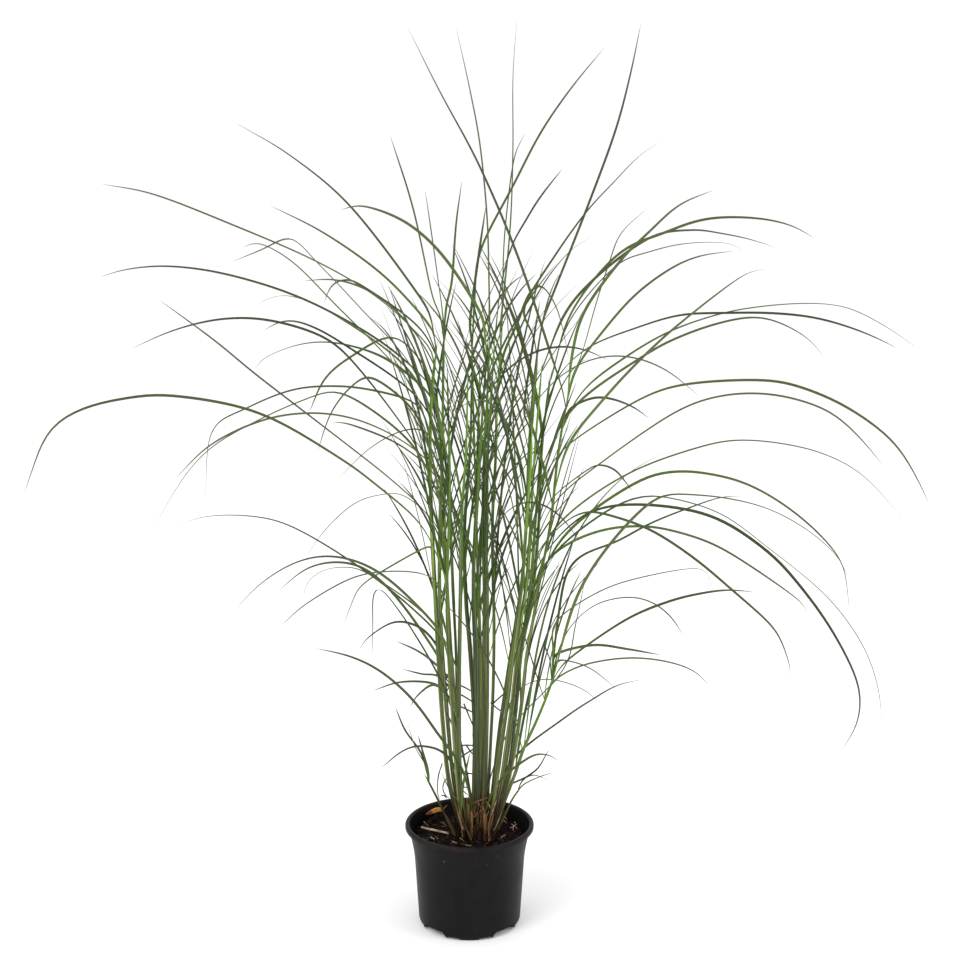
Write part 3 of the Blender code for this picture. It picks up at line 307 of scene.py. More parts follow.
def path_length(points):
    """Length of a line from point to point."""
    return sum((second - first).length for first, second in zip(points, points[1:]))


sample = spline([at_depth(pixel, 0.0) for pixel in reversed(BLADES_LEFT[1])], 40)
print("one traced blade is about", round(path_length(sample) * 1000.0), "mm long, seen flat")

# %% [markdown]
# ## The coarse blades, used to find a free way through the clump
# The photograph doesn't say how far towards the eye or away a blade leans. Each one gets a seeded
# depth, and a coarse form of it is tested against every other shoot. Where it would pass through a
# neighbour, it is nudged and tested again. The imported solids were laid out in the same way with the
# same seed, so both agree.

# %% The soil that the culms stand on
SOIL_TOP = 0.1360
RIM_HEIGHT = 0.1550
GAP = 0.0003

soil_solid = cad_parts["soil"].data
soil_tree = BVHTree.FromPolygons([vert.co for vert in soil_solid.vertices],
                                 [tuple(face.vertices) for face in soil_solid.polygons])
print("soil solid has", len(soil_solid.vertices), "corners")

# %% Coarse tubes and blades
CULM_SIDES = 5
CULM_TAPER = 1.4
SPEAR_LENGTH = 0.012
BLADE_WIDTH = 0.0046
BLADE_KEEL = 0.0011
WIDTH_AT_SHEATH = 0.62
WIDENING = 2.6
COARSE_RUN_OUT = 2.2
SHORTEST_LEAN = 0.02


def loft(rings, tip=None):
    """Closed tube through rings of points, ended by a flat cap or by a point."""
    bm = bmesh.new()
    loops = [[bm.verts.new(point) for point in ring] for ring in rings]
    sides = len(rings[0])
    for lower, upper in zip(loops, loops[1:]):
        for index in range(sides):
            following = (index + 1) % sides
            bm.faces.new((lower[index], lower[following], upper[following], upper[index]))
    bm.faces.new(loops[0][::-1])
    if tip is None:
        bm.faces.new(loops[-1])
    else:
        point = bm.verts.new(tip)
        for index in range(sides):
            bm.faces.new((loops[-1][index], loops[-1][(index + 1) % sides], point))
    bmesh.ops.triangulate(bm, faces=bm.faces)
    return bm


def culm_radius(foot_radius, tip_radius, share):
    """Radius of a culm at a share of its length."""
    return foot_radius + (tip_radius - foot_radius) * share ** CULM_TAPER


def culm_bmesh(path, foot_radius, tip_radius):
    """Tapering tube along a culm, its foot cut level."""
    rings = []
    for index, point in enumerate(path):
        radius = culm_radius(foot_radius, tip_radius, index / (len(path) - 1))
        turns = [math.tau * (side + 0.25 * index) / CULM_SIDES for side in range(CULM_SIDES)]
        rings.append([point + Vector((radius * math.cos(turn), radius * math.sin(turn), 0.0)) for turn in turns])
    tip = path[-1] + (path[-1] - path[-2]).normalized() * SPEAR_LENGTH
    return loft(rings, tip)


def blade_width(width, share, run_out=COARSE_RUN_OUT):
    """A blade widens above its sheath, keeps its width, then runs out to a fine tip."""
    return width * min(1.0, WIDTH_AT_SHEATH + WIDENING * share) * (1.0 - share ** run_out) ** 0.8


def blade_bmesh(path, width, twist, extra=0.0):
    """Keeled blade: three-sided, flat side up, running out to a point."""
    lean = path[-1] - path[0]
    lean.z = 0.0
    if lean.length < SHORTEST_LEAN:
        lean = Vector((1.0, 0.4, 0.0))
    across = Vector((-lean.y, lean.x, 0.0)).normalized()
    last = len(path) - 1
    rings = []
    for index in range(last):
        along = (path[index + 1] - path[max(0, index - 1)]).normalized()
        side = (across - along * across.dot(along)).normalized()
        side = Matrix.Rotation(twist * index / last, 3, along) @ side
        below = side.cross(along).normalized()
        if below.z > 0.0:
            below = -below
        half = blade_width(width, index / last) / 2.0 + extra
        keel = BLADE_KEEL * (0.35 + 0.65 * half * 2.0 / width) + extra * 2.0
        middle = path[index]
        rings.append([middle + side * half - below * extra, middle - side * half - below * extra,
                      middle + below * keel])
    return loft(rings, path[-1])


def tree_of(bm):
    """The form as a tree that can be tested against others."""
    made = BVHTree.FromBMesh(bm)
    bm.free()
    return made


print("a blade of", BLADE_WIDTH * 1000.0, "mm is", round(blade_width(BLADE_WIDTH, 0.9) * 1000.0, 1),
      "mm wide near its tip")

# %% [markdown]
# ## A shoot knows where its culm stands
# The foot of a culm stands on the soil at its pixel. Above it, each pixel gives a point at a depth
# that grows slowly up the culm, because the outer culms lean outwards. Each pixel could have a depth
# of its own, but one lean for each culm keeps its line smooth.

# %% The culms
CULM_STEP = 0.180
FEWEST_STEPS = 3
LEAN_GROWTH = 1.2


def ground_under(soil_tree, centre, radius):
    """Highest soil under a culm's foot."""
    points = [centre] + [centre + Vector((radius * math.cos(turn), radius * math.sin(turn), 0.0))
                         for turn in (math.pi * index / 4.0 for index in range(8))]
    hits = [soil_tree.ray_cast(Vector((point[0], point[1], RIM_HEIGHT)), Vector((0.0, 0.0, -1.0)))[0]
            for point in points]
    return max(hit.z for hit in hits if hit is not None)


def culm_path(pixels, lean, foot_radius, soil_tree):
    """Middle line of a culm: its foot stands on the soil, its tip leans back or forward."""
    foot = at_height(pixels[0], SOIL_TOP)
    foot.z = ground_under(soil_tree, foot, foot_radius) + GAP
    points = [foot]
    for pixel in pixels[1:]:
        rise = (pixels[0][1] - pixel[1]) / (pixels[0][1] - pixels[-1][1])
        points.append(at_depth(pixel, foot.y + lean * rise ** LEAN_GROWTH))
    return points


class Shoot:
    """One culm with the blades that grow from it."""

    def __init__(self, soil_tree, name, pixels, foot_radius, tip_radius, lean):
        self.name = name
        self.pixels = pixels
        self.foot_radius = foot_radius
        self.tip_radius = tip_radius
        self.line = culm_path(pixels, lean, foot_radius, soil_tree)
        self.path = spline(self.line, max(FEWEST_STEPS, round(path_length(self.line) / CULM_STEP)))
        self.rows = [row_of(point) for point in self.path]
        self.blades = []
        self.trees = [tree_of(culm_bmesh(self.path, foot_radius, tip_radius))]

    def add_blade(self, points, width, twist):
        """Keeps a blade as this shoot's own."""
        self.blades.append((points, width, twist))
        self.trees.append(blade_tree(points, width, twist))

    def across_at(self, row):
        """Pixel column of the culm at a pixel row."""
        for lower, upper in zip(self.pixels, self.pixels[1:]):
            if upper[1] <= row <= lower[1]:
                share = (lower[1] - row) / (lower[1] - upper[1])
                return lower[0] + (upper[0] - lower[0]) * share
        return self.pixels[-1][0] if row < self.pixels[-1][1] else self.pixels[0][0]

    def point_at(self, row):
        """Point of the culm's middle line at a pixel row."""
        for index in range(len(self.rows) - 1):
            if self.rows[index + 1] <= row <= self.rows[index]:
                share = (self.rows[index] - row) / (self.rows[index] - self.rows[index + 1])
                return self.path[index].lerp(self.path[index + 1], share)
        return self.path[-1].copy()

    def point_up(self, share):
        """Point at a share of the culm's height."""
        along = share * (len(self.path) - 1)
        place = min(int(along), len(self.path) - 2)
        return self.path[place].lerp(self.path[place + 1], along - place)


shoots = [Shoot(soil_tree, name, *values) for name, values in CULMS.items()]
print("culms:", len(shoots), "from", round(min(path_length(shoot.path) for shoot in shoots), 2), "to",
      round(max(path_length(shoot.path) for shoot in shoots), 2), "m long")

# %% [markdown]
# ## The blades find their shoots
# A traced blade goes to the shoot whose culm it would reach first, unless that shoot is crowded. The
# photograph hides these joints, so nearness has to decide. A few more blades, which the photograph
# shows end on, follow a rule instead: they leave at 5 to 13 degrees from upright and lean over more
# and more towards the tip.

# %% The line of a blade in space
RISE_ACROSS = 0.31
RISE_UP = 0.54
DEPTH_GROWTH = 1.35
ARCH_STEPS = 10
FINE_STEPS = 48
EASING_ROUNDS = 3
BLADE_TURN_PER_STEP = math.radians(31.0)
MOST_BLADE_STEPS = 6
SHORTEST_STEP = 0.008


def lifted_blade(shoot, trace, start_row, depth):
    """A blade seen in the photograph, as points in space from its culm to its tip."""
    start, inner = (shoot.across_at(start_row), start_row), trace[-1]
    rise = (start[0] + RISE_ACROSS * (inner[0] - start[0]), start[1] + RISE_UP * (inner[1] - start[1]))
    pixels = [start, rise] + list(reversed(trace))
    runs = [0.0]
    for first, second in zip(pixels, pixels[1:]):
        runs.append(runs[-1] + math.dist(first, second))
    foot = shoot.point_at(start_row)
    points = [foot]
    for pixel, run in zip(pixels[1:], runs[1:]):
        points.append(at_depth(pixel, foot.y + depth * (run / runs[-1]) ** DEPTH_GROWTH))
    return points


def arching_blade(foot, azimuth, length, start_lean, end_lean):
    """A blade that follows the rule of its kind: it leaves steeply and arches over by its own weight."""
    point = foot.copy()
    points = [foot.copy()]
    run = length / ARCH_STEPS
    for step in range(ARCH_STEPS):
        lean = start_lean + (end_lean - start_lean) * ((step + 0.5) / ARCH_STEPS) ** 1.4
        point = point + Vector((math.sin(lean) * math.cos(azimuth), math.sin(lean) * math.sin(azimuth),
                                math.cos(lean))) * run
        points.append(point.copy())
    return points


def eased_line(points):
    """A blade's line in many steps, with its sharpest folds eased."""
    fine = spline(points, FINE_STEPS)
    for _ in range(EASING_ROUNDS):
        eased = [(fine[index - 1] + fine[index] * 2.0 + fine[index + 1]) / 4.0
                 for index in range(1, FINE_STEPS)]
        fine = [fine[0]] + eased + [fine[-1]]
    return fine


def coarse_path(points):
    """A blade's line in a few steps, closer together where it bends."""
    fine = eased_line(points)
    bends = [0.0]
    for first, second, third in zip(fine, fine[1:], fine[2:]):
        bends.append((second - first).angle(third - second))
    total = sum(bends)
    steps = max(FEWEST_STEPS, min(MOST_BLADE_STEPS, 2 + round(total / BLADE_TURN_PER_STEP)))
    travelled = [0.0]
    for bend in bends:
        travelled.append(travelled[-1] + 0.5 / len(bends) + 0.5 * bend / max(total, 0.01))
    path = [fine[0]]
    place = 0
    for step in range(1, steps):
        target = travelled[-1] * step / steps
        while travelled[place + 1] < target:
            place += 1
        share = (target - travelled[place]) / (travelled[place + 1] - travelled[place])
        point = fine[place].lerp(fine[place + 1], share)
        if min((point - path[-1]).length, (point - fine[-1]).length) > SHORTEST_STEP:
            path.append(point)
    return path + [fine[-1]]


def blade_tree(points, width, twist, extra=0.0):
    """The coarse form of a blade, ready for tests."""
    return tree_of(blade_bmesh(coarse_path(points), width, twist, extra))


def blade_is_clear(points, width, twist, shoots, own):
    """True where a blade keeps its gap to every shoot but its own."""
    tree = blade_tree(points, width, twist, GAP)
    return not any(other.overlap(tree) for shoot in shoots if shoot is not own for other in shoot.trees)


print("a blade is tested in at most", MOST_BLADE_STEPS, "steps, each longer than", SHORTEST_STEP * 1000.0, "mm")

# %% The shoot that a blade joins
MOST_BLADES = 10
CROWDING_COST = 8.0
DROP_COST = 0.80
WRONG_WAY_COST = 2.0
JOIN_DROP = 14.0
LEAST_DROP = 8.0
LEAST_JOIN_SLOPE = 0.95
MOST_JOIN_SLOPE = 2.6
FALL_PER_LEAN = 1.5
FLATTEST_LEAN = 0.1
JOIN_ROUNDS = 6
BELOW_TIP = 6.0
LOWEST_JOIN_ROW = 812.0


def join_slope(trace):
    """Rows that a blade falls for each column on its way from the inner end of its trace to a culm."""
    inner, before = trace[-1], trace[-2]
    lean = math.atan2(abs(inner[0] - before[0]), abs(inner[1] - before[1]))
    return max(LEAST_JOIN_SLOPE, min(MOST_JOIN_SLOPE, FALL_PER_LEAN / math.tan(max(FLATTEST_LEAN, lean))))


def best_shoots(shoots, trace):
    """Shoots in the order in which a blade that enters the clump at its inner end would reach them."""
    join = trace[-1]
    slope = join_slope(trace)
    heading = trace[-1][0] - trace[-2][0]
    ranked = []
    for shoot in shoots:
        top = shoot.pixels[-1][1] + BELOW_TIP
        row = join[1] + JOIN_DROP
        for _ in range(JOIN_ROUNDS):
            row = max(top, join[1] + JOIN_DROP + slope * abs(join[0] - shoot.across_at(row)))
        row = min(row, LOWEST_JOIN_ROW)
        across = shoot.across_at(row) - join[0]
        if row > join[1] + LEAST_DROP and len(shoot.blades) < MOST_BLADES:
            cost = abs(across) + CROWDING_COST * len(shoot.blades) + DROP_COST * (row - join[1])
            if across * heading < 0.0:
                cost += WRONG_WAY_COST * abs(across)
            ranked.append((cost, shoot.name, row))
    return sorted(ranked)


print("the first traced blade comes from", best_shoots(shoots, BLADES_UP[0])[0][1])

# %% Give every blade a shoot and a depth
PLANT_SEED = 22
ATTEMPTS = 60
NEAREST_SHOOTS = 4
TRIES_PER_SHOOT = 8
LONGEST_REACH = 0.66
LEAST_DEPTH = 0.04
NUDGE_DEPTH = 0.008
NUDGE_ROWS = 0.4
NUDGE_RISE = 0.004
LEAVES_BETWEEN = (0.3, 0.98)
LOWEST_POINT = 0.12
LOWEST_TIP = 0.20
HIGHEST_ROW = 235.0
YOUNG_START = 8.0
YOUNG_DEPTH = -0.02
YOUNG_WIDTH = BLADE_WIDTH * 0.62


def place_traced_blades(shoots, traces, rng):
    """Gives each blade of the photograph a shoot and a direction in depth that keep it clear."""
    by_name = {shoot.name: shoot for shoot in shoots}
    left_out = 0
    for number, trace in enumerate(traces):
        turn = math.radians(rng.uniform(4.0, 62.0)) * (1.0 if number % 2 else -1.0)
        width = BLADE_WIDTH * rng.uniform(0.80, 1.05)
        twist = rng.uniform(-1.2, 1.2)
        nudges = [rng.uniform(-1.0, 1.0) for _ in range(ATTEMPTS)]
        for attempt, nudge in enumerate(nudges):
            ranked = best_shoots(shoots, trace)[:NEAREST_SHOOTS]
            _, name, row = ranked[(attempt // TRIES_PER_SHOOT) % len(ranked)]
            shoot = by_name[name]
            foot = shoot.point_at(row)
            side = abs(at_depth(trace[0], foot.y).x - foot.x)
            most = math.sqrt(max(0.02, LONGEST_REACH ** 2 - side ** 2))
            depth = max(-most, min(most, side * math.tan(turn) + math.copysign(LEAST_DEPTH, turn)))
            depth += nudge * NUDGE_DEPTH * attempt
            points = lifted_blade(shoot, trace, row + nudge * attempt * NUDGE_ROWS, depth)
            low = min(point.z for point in points)
            if low > LOWEST_POINT and blade_is_clear(points, width, twist, shoots, shoot):
                shoot.add_blade(points, width, twist)
                break
        else:
            left_out += 1
    return left_out


def place_rule_blades(shoots, rng):
    """Blades that come towards the eye or go away behind the clump."""
    left_out = 0
    for number, shoot in enumerate(shoots):
        base = math.radians(90.0 if number % 2 else -90.0)
        width = BLADE_WIDTH * rng.uniform(0.75, 1.0)
        twist = rng.uniform(-1.0, 1.0)
        rise = rng.uniform(0.42, 0.95)
        length = rng.uniform(0.40, 0.72)
        end_lean = math.radians(rng.uniform(45.0, 125.0))
        start_lean = math.radians(rng.uniform(5.0, 13.0))
        for attempt in range(ATTEMPTS):
            azimuth = base + math.radians(rng.uniform(-42.0, 42.0))
            share = rise + NUDGE_RISE * attempt * rng.uniform(-1.0, 1.0)
            share = min(LEAVES_BETWEEN[1], max(LEAVES_BETWEEN[0], share))
            points = arching_blade(shoot.point_up(share), azimuth, length, start_lean, end_lean)
            highest = min(row_of(point) for point in points)
            if points[-1].z < LOWEST_TIP or highest < HIGHEST_ROW:
                continue
            if blade_is_clear(points, width, twist, shoots, shoot):
                shoot.add_blade(points, width, twist)
                break
        else:
            left_out += 1
    return left_out


young = [(Shoot(soil_tree, name, pixels, radius, radius * 0.6, lean), traces)
         for name, (pixels, radius, lean, traces) in BASAL_BLADES.items()]
everyone = shoots + [shoot for shoot, traces in young]
rng = random.Random(PLANT_SEED)
for shoot, traces in young:
    for trace in traces:
        points = lifted_blade(shoot, trace, shoot.pixels[-1][1] + YOUNG_START, YOUNG_DEPTH)
        shoot.add_blade(points, YOUNG_WIDTH, 0.3)
missing = place_traced_blades(shoots, BLADES_UP + BLADES_LEFT + BLADES_RIGHT, rng)
missing += place_rule_blades(shoots, rng)
print("blades placed:", sum(len(shoot.blades) for shoot in everyone), "left out:", missing)

# %% [markdown]
# ## One piece from many closed forms
# A shoot is a culm, its sheaths and its blades. Each is a closed form of rings joined by faces, and
# together they are one mesh. With each corner the mesh also keeps what the finish needs to know:
# how far along its own length it is, how dry it is, a number that differs from blade to blade, and a
# place in the grain. Named attributes carry this, so that the colour follows each blade however it
# bends, which no flat projection could do.

# %% Collect rings into a mesh
SHARPEST_SMOOTH = math.radians(50.0)


def turn_faces_out(mesh_data, weld=None):
    """Makes all faces look outwards, and joins the corners that lie closer than weld."""
    bm = bmesh.new()
    bm.from_mesh(mesh_data)
    if weld is not None:
        bmesh.ops.remove_doubles(bm, verts=bm.verts, dist=weld)
    bmesh.ops.recalc_face_normals(bm, faces=bm.faces)
    bm.to_mesh(mesh_data)
    bm.free()


class Bundle:
    """Closed ringed forms that become one mesh."""

    def __init__(self):
        self.corners = []
        self.faces = []
        self.marks = {"along": [], "dry": [], "tone": [], "leafy": []}
        self.grain = []
        self.count = 0

    def add(self, rings, along, grain, dry, tone, leafy, tip=None):
        """Adds a form; rings is an array (rings, sides, 3), along and dry have one value for each ring."""
        count, sides = rings.shape[:2]
        first = self.count
        self.corners.append(rings.reshape(-1, 3))
        self.grain.append(grain.reshape(-1, 3))
        ring_along = np.repeat(np.asarray(along, float), sides)
        ring_dry = np.repeat(np.broadcast_to(np.asarray(dry, float), (count,)), sides)
        lower = np.arange(count - 1)[:, None] * sides + first
        side = np.arange(sides)[None, :]
        following = (side + 1) % sides
        quads = np.stack([lower + side, lower + following, lower + sides + following, lower + sides + side], -1)
        self.faces += quads.reshape(-1, 4).tolist()
        self.faces.append((first + np.arange(sides)[::-1]).tolist())
        total = count * sides
        if tip is None:
            self.faces.append((first + total - sides + np.arange(sides)).tolist())
        else:
            self.corners.append(np.asarray(tip, float).reshape(1, 3))
            self.grain.append(grain[-1].mean(axis=0).reshape(1, 3))
            ring_along = np.append(ring_along, along[-1])
            ring_dry = np.append(ring_dry, ring_dry[-1])
            last = first + total - sides
            self.faces += [[last + index, last + (index + 1) % sides, first + total] for index in range(sides)]
            total += 1
        self.marks["along"].append(ring_along)
        self.marks["dry"].append(ring_dry)
        self.marks["tone"].append(np.full(total, tone))
        self.marks["leafy"].append(np.full(total, leafy))
        self.count += total

    def mesh(self, name):
        """The one mesh of all forms, with its marks."""
        made = bpy.data.meshes.new(name)
        made.from_pydata(np.concatenate(self.corners).tolist(), [], self.faces)
        for mark, values in self.marks.items():
            layer = made.attributes.new(mark, "FLOAT", "POINT")
            layer.data.foreach_set("value", np.concatenate(values).astype(np.float32))
        layer = made.attributes.new("grain", "FLOAT_VECTOR", "POINT")
        layer.data.foreach_set("vector", np.concatenate(self.grain).astype(np.float32).ravel())
        turn_faces_out(made)
        made.shade_smooth()
        made.set_sharp_from_angle(angle=SHARPEST_SMOOTH)
        return made


def add_object(name, data):
    """A new object in the scene."""
    made = bpy.data.objects.new(name, data)
    bpy.context.scene.collection.objects.link(made)
    return made


def place_piece(name, mesh_data, finish, replaced=()):
    """Adds a piece that rides on the plant's one body."""
    piece = add_object(name, mesh_data)
    mesh_data.materials.clear()
    mesh_data.materials.append(finish)
    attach(piece, "root")
    if replaced:
        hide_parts(*replaced)
    return piece


print("marks kept with each corner:", ", ".join(Bundle().marks), "and grain")

# %% [markdown]
# ## A blade's section
# Cut across, a grass blade is a shallow V: a pale midrib with a keel under it, and two halves that
# rise from it and thin out to their edges. Near the sheath it is folded more tightly, because there it
# wraps the culm, and at the tip it is nearly flat. Twelve points a ring are enough for the keel and
# the groove to catch the light. A real blade also rolls a little just above its sheath, so that one
# of its flat sides turns to the eye. Without that roll, an arching blade would show only its edge.

# %% Fine blades
SECTION = np.array([  # share of the half width, share of the thickness below the upper face
    (-1.00, 0.00), (-0.60, 0.00), (-0.16, 0.00), (0.00, 0.22), (0.16, 0.00), (0.60, 0.00),
    (1.00, 0.00), (0.60, 0.45), (0.20, 0.80), (0.00, 1.00), (-0.20, 0.80), (-0.60, 0.45)])
BLADE_THICKNESS = 0.00050
FOLD_AT_SHEATH = 0.95
FOLD_ALONG = 0.42
FOLD_AT_TIP = 0.12
FINE_RUN_OUT = 5.0
ROLLED_BY = 0.18
DRY_FROM = 0.80
GRAIN_APART = (0.7, 3.0)


def line_frame(line, across, twist):
    """Each point of a line, with the directions across and up there."""
    points = np.array([tuple(point) for point in line])
    along = np.gradient(points, axis=0)
    along /= np.linalg.norm(along, axis=1, keepdims=True)
    side = across[None, :] - along * (along @ across)[:, None]
    side /= np.linalg.norm(side, axis=1, keepdims=True)
    up = np.cross(along, side)
    turn = np.asarray(twist)[:, None]
    return points, side * np.cos(turn) + up * np.sin(turn), up * np.cos(turn) - side * np.sin(turn)


def run_along(points):
    """How far along a line each of its points is."""
    return np.concatenate([[0.0], np.cumsum(np.linalg.norm(np.diff(points, axis=0), axis=1))])


def level_across(way):
    """The level direction square to another one."""
    return np.array((-way.y, way.x, 0.0))


def add_fine_blade(bundle, line, width, twist, tone, dry_tip, dry_base=0.0, fold=FOLD_AT_SHEATH, across=None,
                   roll=0.0):
    """Lays the blade's section along a line, from its sheath to a fine tip."""
    count = len(line)
    share = np.linspace(0.0, 1.0, count)
    if across is None:
        lean = line[-1] - line[0]
        across = level_across(lean)
        if np.linalg.norm(across) < SHORTEST_LEAN:
            across = np.array((-0.4, 1.0, 0.0))
        across /= np.linalg.norm(across)
    rolled = np.clip(share / ROLLED_BY, 0.0, 1.0)
    turning = twist * share + roll * rolled * rolled * (3.0 - 2.0 * rolled)
    points, side, up = line_frame(line, across, turning)
    half = np.array([blade_width(width, value, FINE_RUN_OUT) for value in share[:-1]]) / 2.0
    folds = np.interp(share[:-1], (0.0, 0.12, 0.75, 1.0), (fold, FOLD_ALONG, FOLD_ALONG, FOLD_AT_TIP))
    thick = BLADE_THICKNESS * (width / BLADE_WIDTH) * (0.30 + 0.70 * half * 2.0 / width)
    across_share = SECTION[:, 0]
    lift = half[:, None] * folds[:, None] * (np.abs(across_share)[None, :] - 1.0)
    lift = lift - thick[:, None] * SECTION[None, :, 1]
    flat = half[:, None] * across_share[None, :] / np.sqrt(1.0 + folds[:, None] ** 2)
    rings = points[:-1, None, :] + side[:-1, None, :] * flat[..., None] + up[:-1, None, :] * lift[..., None]
    grain = np.zeros(rings.shape)
    grain[..., 0] = half[:, None] * across_share[None, :]
    grain[..., 1] = tone * GRAIN_APART[0]
    grain[..., 2] = run_along(points)[:-1, None] + tone * GRAIN_APART[1]
    tip_share = np.clip((share[:-1] - DRY_FROM) / 0.20, 0.0, 1.0) ** 2.0
    dry = np.clip(tip_share * dry_tip + dry_base, 0.0, 1.0)
    bundle.add(rings, share[:-1], grain, dry=dry, tone=tone, leafy=1.0, tip=points[-1])


print("a fine blade has", len(SECTION), "corners a ring and is", BLADE_THICKNESS * 1000.0, "mm thick")

# %% [markdown]
# ## A culm in its sheaths
# What looks like one stem is a thin culm wrapped in leaf sheaths, one inside the other. Each sheath is
# a rolled sheet: where its blade leaves, the stem gets a little thinner, and its free edge runs down
# the stem as a fine pale ridge. So the radius is a slow taper, with a small step at each collar, a
# slight swelling at each node, and a step round the ring where the sheath overlaps itself. Sheets
# wrapped one round the other would look the same at this size, and could cut into each other.

# %% Fine culms
CULM_RINGS = 110
CULM_RING_SIDES = 18
CULM_PART = 0.86
SHEATH_THICKNESS = 0.00028
SHEATH_THINNING = 0.6
SHEATH_LENGTH = 0.17
MOST_WRAPPING = 0.00060
SEAM_TURN = 1.9
OVERLAP = 0.075
NODE_SPACING = 0.135
NODE_SWELLING = 0.10
NODE_REACH = 0.0022
ROOTED_DEPTH = 0.007
FOOT_SWELLING = (1.10, 1.10, 1.04)
TIP_NARROWING = np.linspace(1.0, 0.35, 6)
# Dry brown at the foot of each culm: partly the old sheaths' own colour, partly painted shade at the base of the
# clump
DRY_HEIGHTS = (0.0, 0.050, 0.078, 0.115)
DRYNESS_AND_FOOT_SHADE = (1.0, 0.95, 0.38, 0.0)


def all_round(sides):
    """Evenly spaced turns round a ring."""
    return np.linspace(0.0, math.tau, sides, endpoint=False)


def round_rings(points, side, up, radii, turns):
    """Round rings about the points of a line; radii has one row for each ring."""
    rings = points[:, None, :] + side[..., None, :] * (radii * np.cos(turns))[..., None]
    return rings + up[..., None, :] * (radii * np.sin(turns))[..., None]


def stem_radius(share, height, foot_radius, tip_radius, collars, node_shift):
    """Radius of the wrapped culm at a share of its length."""
    radius = culm_radius(foot_radius, tip_radius, share) * CULM_PART
    wrapping = 0.0
    for collar in collars:
        below = collar - height
        if 0.0 <= below < SHEATH_LENGTH:
            wrapping += SHEATH_THICKNESS * (1.0 - below / SHEATH_LENGTH) ** SHEATH_THINNING
    radius += min(wrapping, MOST_WRAPPING)
    node = (height + node_shift) % NODE_SPACING - NODE_SPACING / 2.0
    return radius + foot_radius * NODE_SWELLING * math.exp(-(node / NODE_REACH) ** 2)


def add_fine_culm(bundle, shoot, line, collars, rng):
    """Adds the wrapped culm, from below the soil to the tip of its youngest, rolled leaf."""
    foot_direction = (line[1] - line[0]).normalized()
    line = [line[0] - foot_direction * ROOTED_DEPTH] + line
    tip = line[-1] + (line[-1] - line[-2]).normalized() * SPEAR_LENGTH
    node_shift = rng.uniform(0.0, NODE_SPACING)
    seam = rng.uniform(0.0, math.tau)
    tone = rng.random()
    points, side, up = line_frame(line + [tip], np.array((1.0, 0.0, 0.0)), np.zeros(len(line) + 1))
    points, side, up = points[:-1], side[:-1], up[:-1]
    run = run_along(points)
    shares = run / run[-1]
    radii = np.array([stem_radius(share, height, shoot.foot_radius, shoot.tip_radius, collars, node_shift)
                      for share, height in zip(shares, run)])
    radii[:len(FOOT_SWELLING)] *= FOOT_SWELLING
    radii[-len(TIP_NARROWING):] *= TIP_NARROWING
    turns = all_round(CULM_RING_SIDES)
    wrapped = np.zeros((len(run), CULM_RING_SIDES))
    for index, height in enumerate(run):
        sheath = sum(1 for collar in collars if collar > height)
        wrapped[index] = ((turns - seam - SEAM_TURN * sheath) / math.tau) % 1.0
    reach = radii[:, None] * (0.97 + OVERLAP * wrapped)
    rings = round_rings(points, side, up, reach, turns)
    grain = np.zeros(rings.shape)
    grain[..., 0] = reach * np.cos(turns)
    grain[..., 1] = reach * np.sin(turns) + tone * GRAIN_APART[0]
    grain[..., 2] = run[:, None] + tone * GRAIN_APART[1]
    # The dry brown low on the culm is partly painted shade at the base of the clump
    dry = np.interp(run, DRY_HEIGHTS, DRYNESS_AND_FOOT_SHADE) * rng.uniform(0.86, 1.0)
    bundle.add(rings, shares, grain, dry=dry, tone=tone, leafy=0.0, tip=tip)
    return line, run


print("a fine culm has", CULM_RINGS, "steps of", CULM_RING_SIDES, "corners")

# %% [markdown]
# ## Finishes
# Each finish is made of nodes. Noise stretched along the grain gives the fine parallel veins of a
# grass blade, and the marks kept in the mesh say where it turns from bright green to olive and where
# it dries to straw. Values that are the same everywhere stay on the shader itself.

# %% Small helpers for node trees
def new_finish(name, roughness, specular):
    """A material with its tree and its main shader."""
    made = bpy.data.materials.new(name)
    made.use_nodes = True
    shader = made.node_tree.nodes["Principled BSDF"]
    shader.inputs["Roughness"].default_value = roughness
    shader.inputs["Specular IOR Level"].default_value = specular
    return made, made.node_tree, shader


def read_mark(tree, name, output="Fac"):
    """Reads a mark kept in the mesh."""
    reader = tree.nodes.new("ShaderNodeAttribute")
    reader.attribute_name = name
    return reader.outputs[output]


def place_in_object(tree):
    """The place in metres, in the plant's own frame."""
    return tree.nodes.new("ShaderNodeTexCoord").outputs["Object"]


def stretched(tree, vector, scale):
    """A vector scaled by different amounts along its three directions."""
    scaler = tree.nodes.new("ShaderNodeVectorMath")
    scaler.operation = "MULTIPLY"
    tree.links.new(vector, scaler.inputs[0])
    scaler.inputs[1].default_value = scale
    return scaler.outputs["Vector"]


def one_axis(tree, vector, axis):
    """One of the three numbers of a vector."""
    parts = tree.nodes.new("ShaderNodeSeparateXYZ")
    tree.links.new(vector, parts.inputs[0])
    return parts.outputs[axis]


def speckle(tree, vector, scale, detail=2.0, roughness=0.5):
    """Smooth noise from 0 to 1."""
    texture = tree.nodes.new("ShaderNodeTexNoise")
    texture.inputs["Scale"].default_value = scale
    texture.inputs["Detail"].default_value = detail
    texture.inputs["Roughness"].default_value = roughness
    tree.links.new(vector, texture.inputs["Vector"])
    return texture.outputs["Fac"]


def veined(tree, grain, scale, detail=2.0):
    """Noise drawn out along the grain."""
    return speckle(tree, stretched(tree, grain, scale), 1.0, detail)


def grade(tree, factor, stops):
    """Colours along a factor: stops are (place, colour)."""
    ramp = tree.nodes.new("ShaderNodeValToRGB")
    band = ramp.color_ramp
    while len(band.elements) < len(stops):
        band.elements.new(0.5)
    for element, (place, colour) in zip(band.elements, stops):
        element.position = place
        element.color = (*colour, 1.0)
    tree.links.new(factor, ramp.inputs["Fac"])
    return ramp.outputs["Color"]


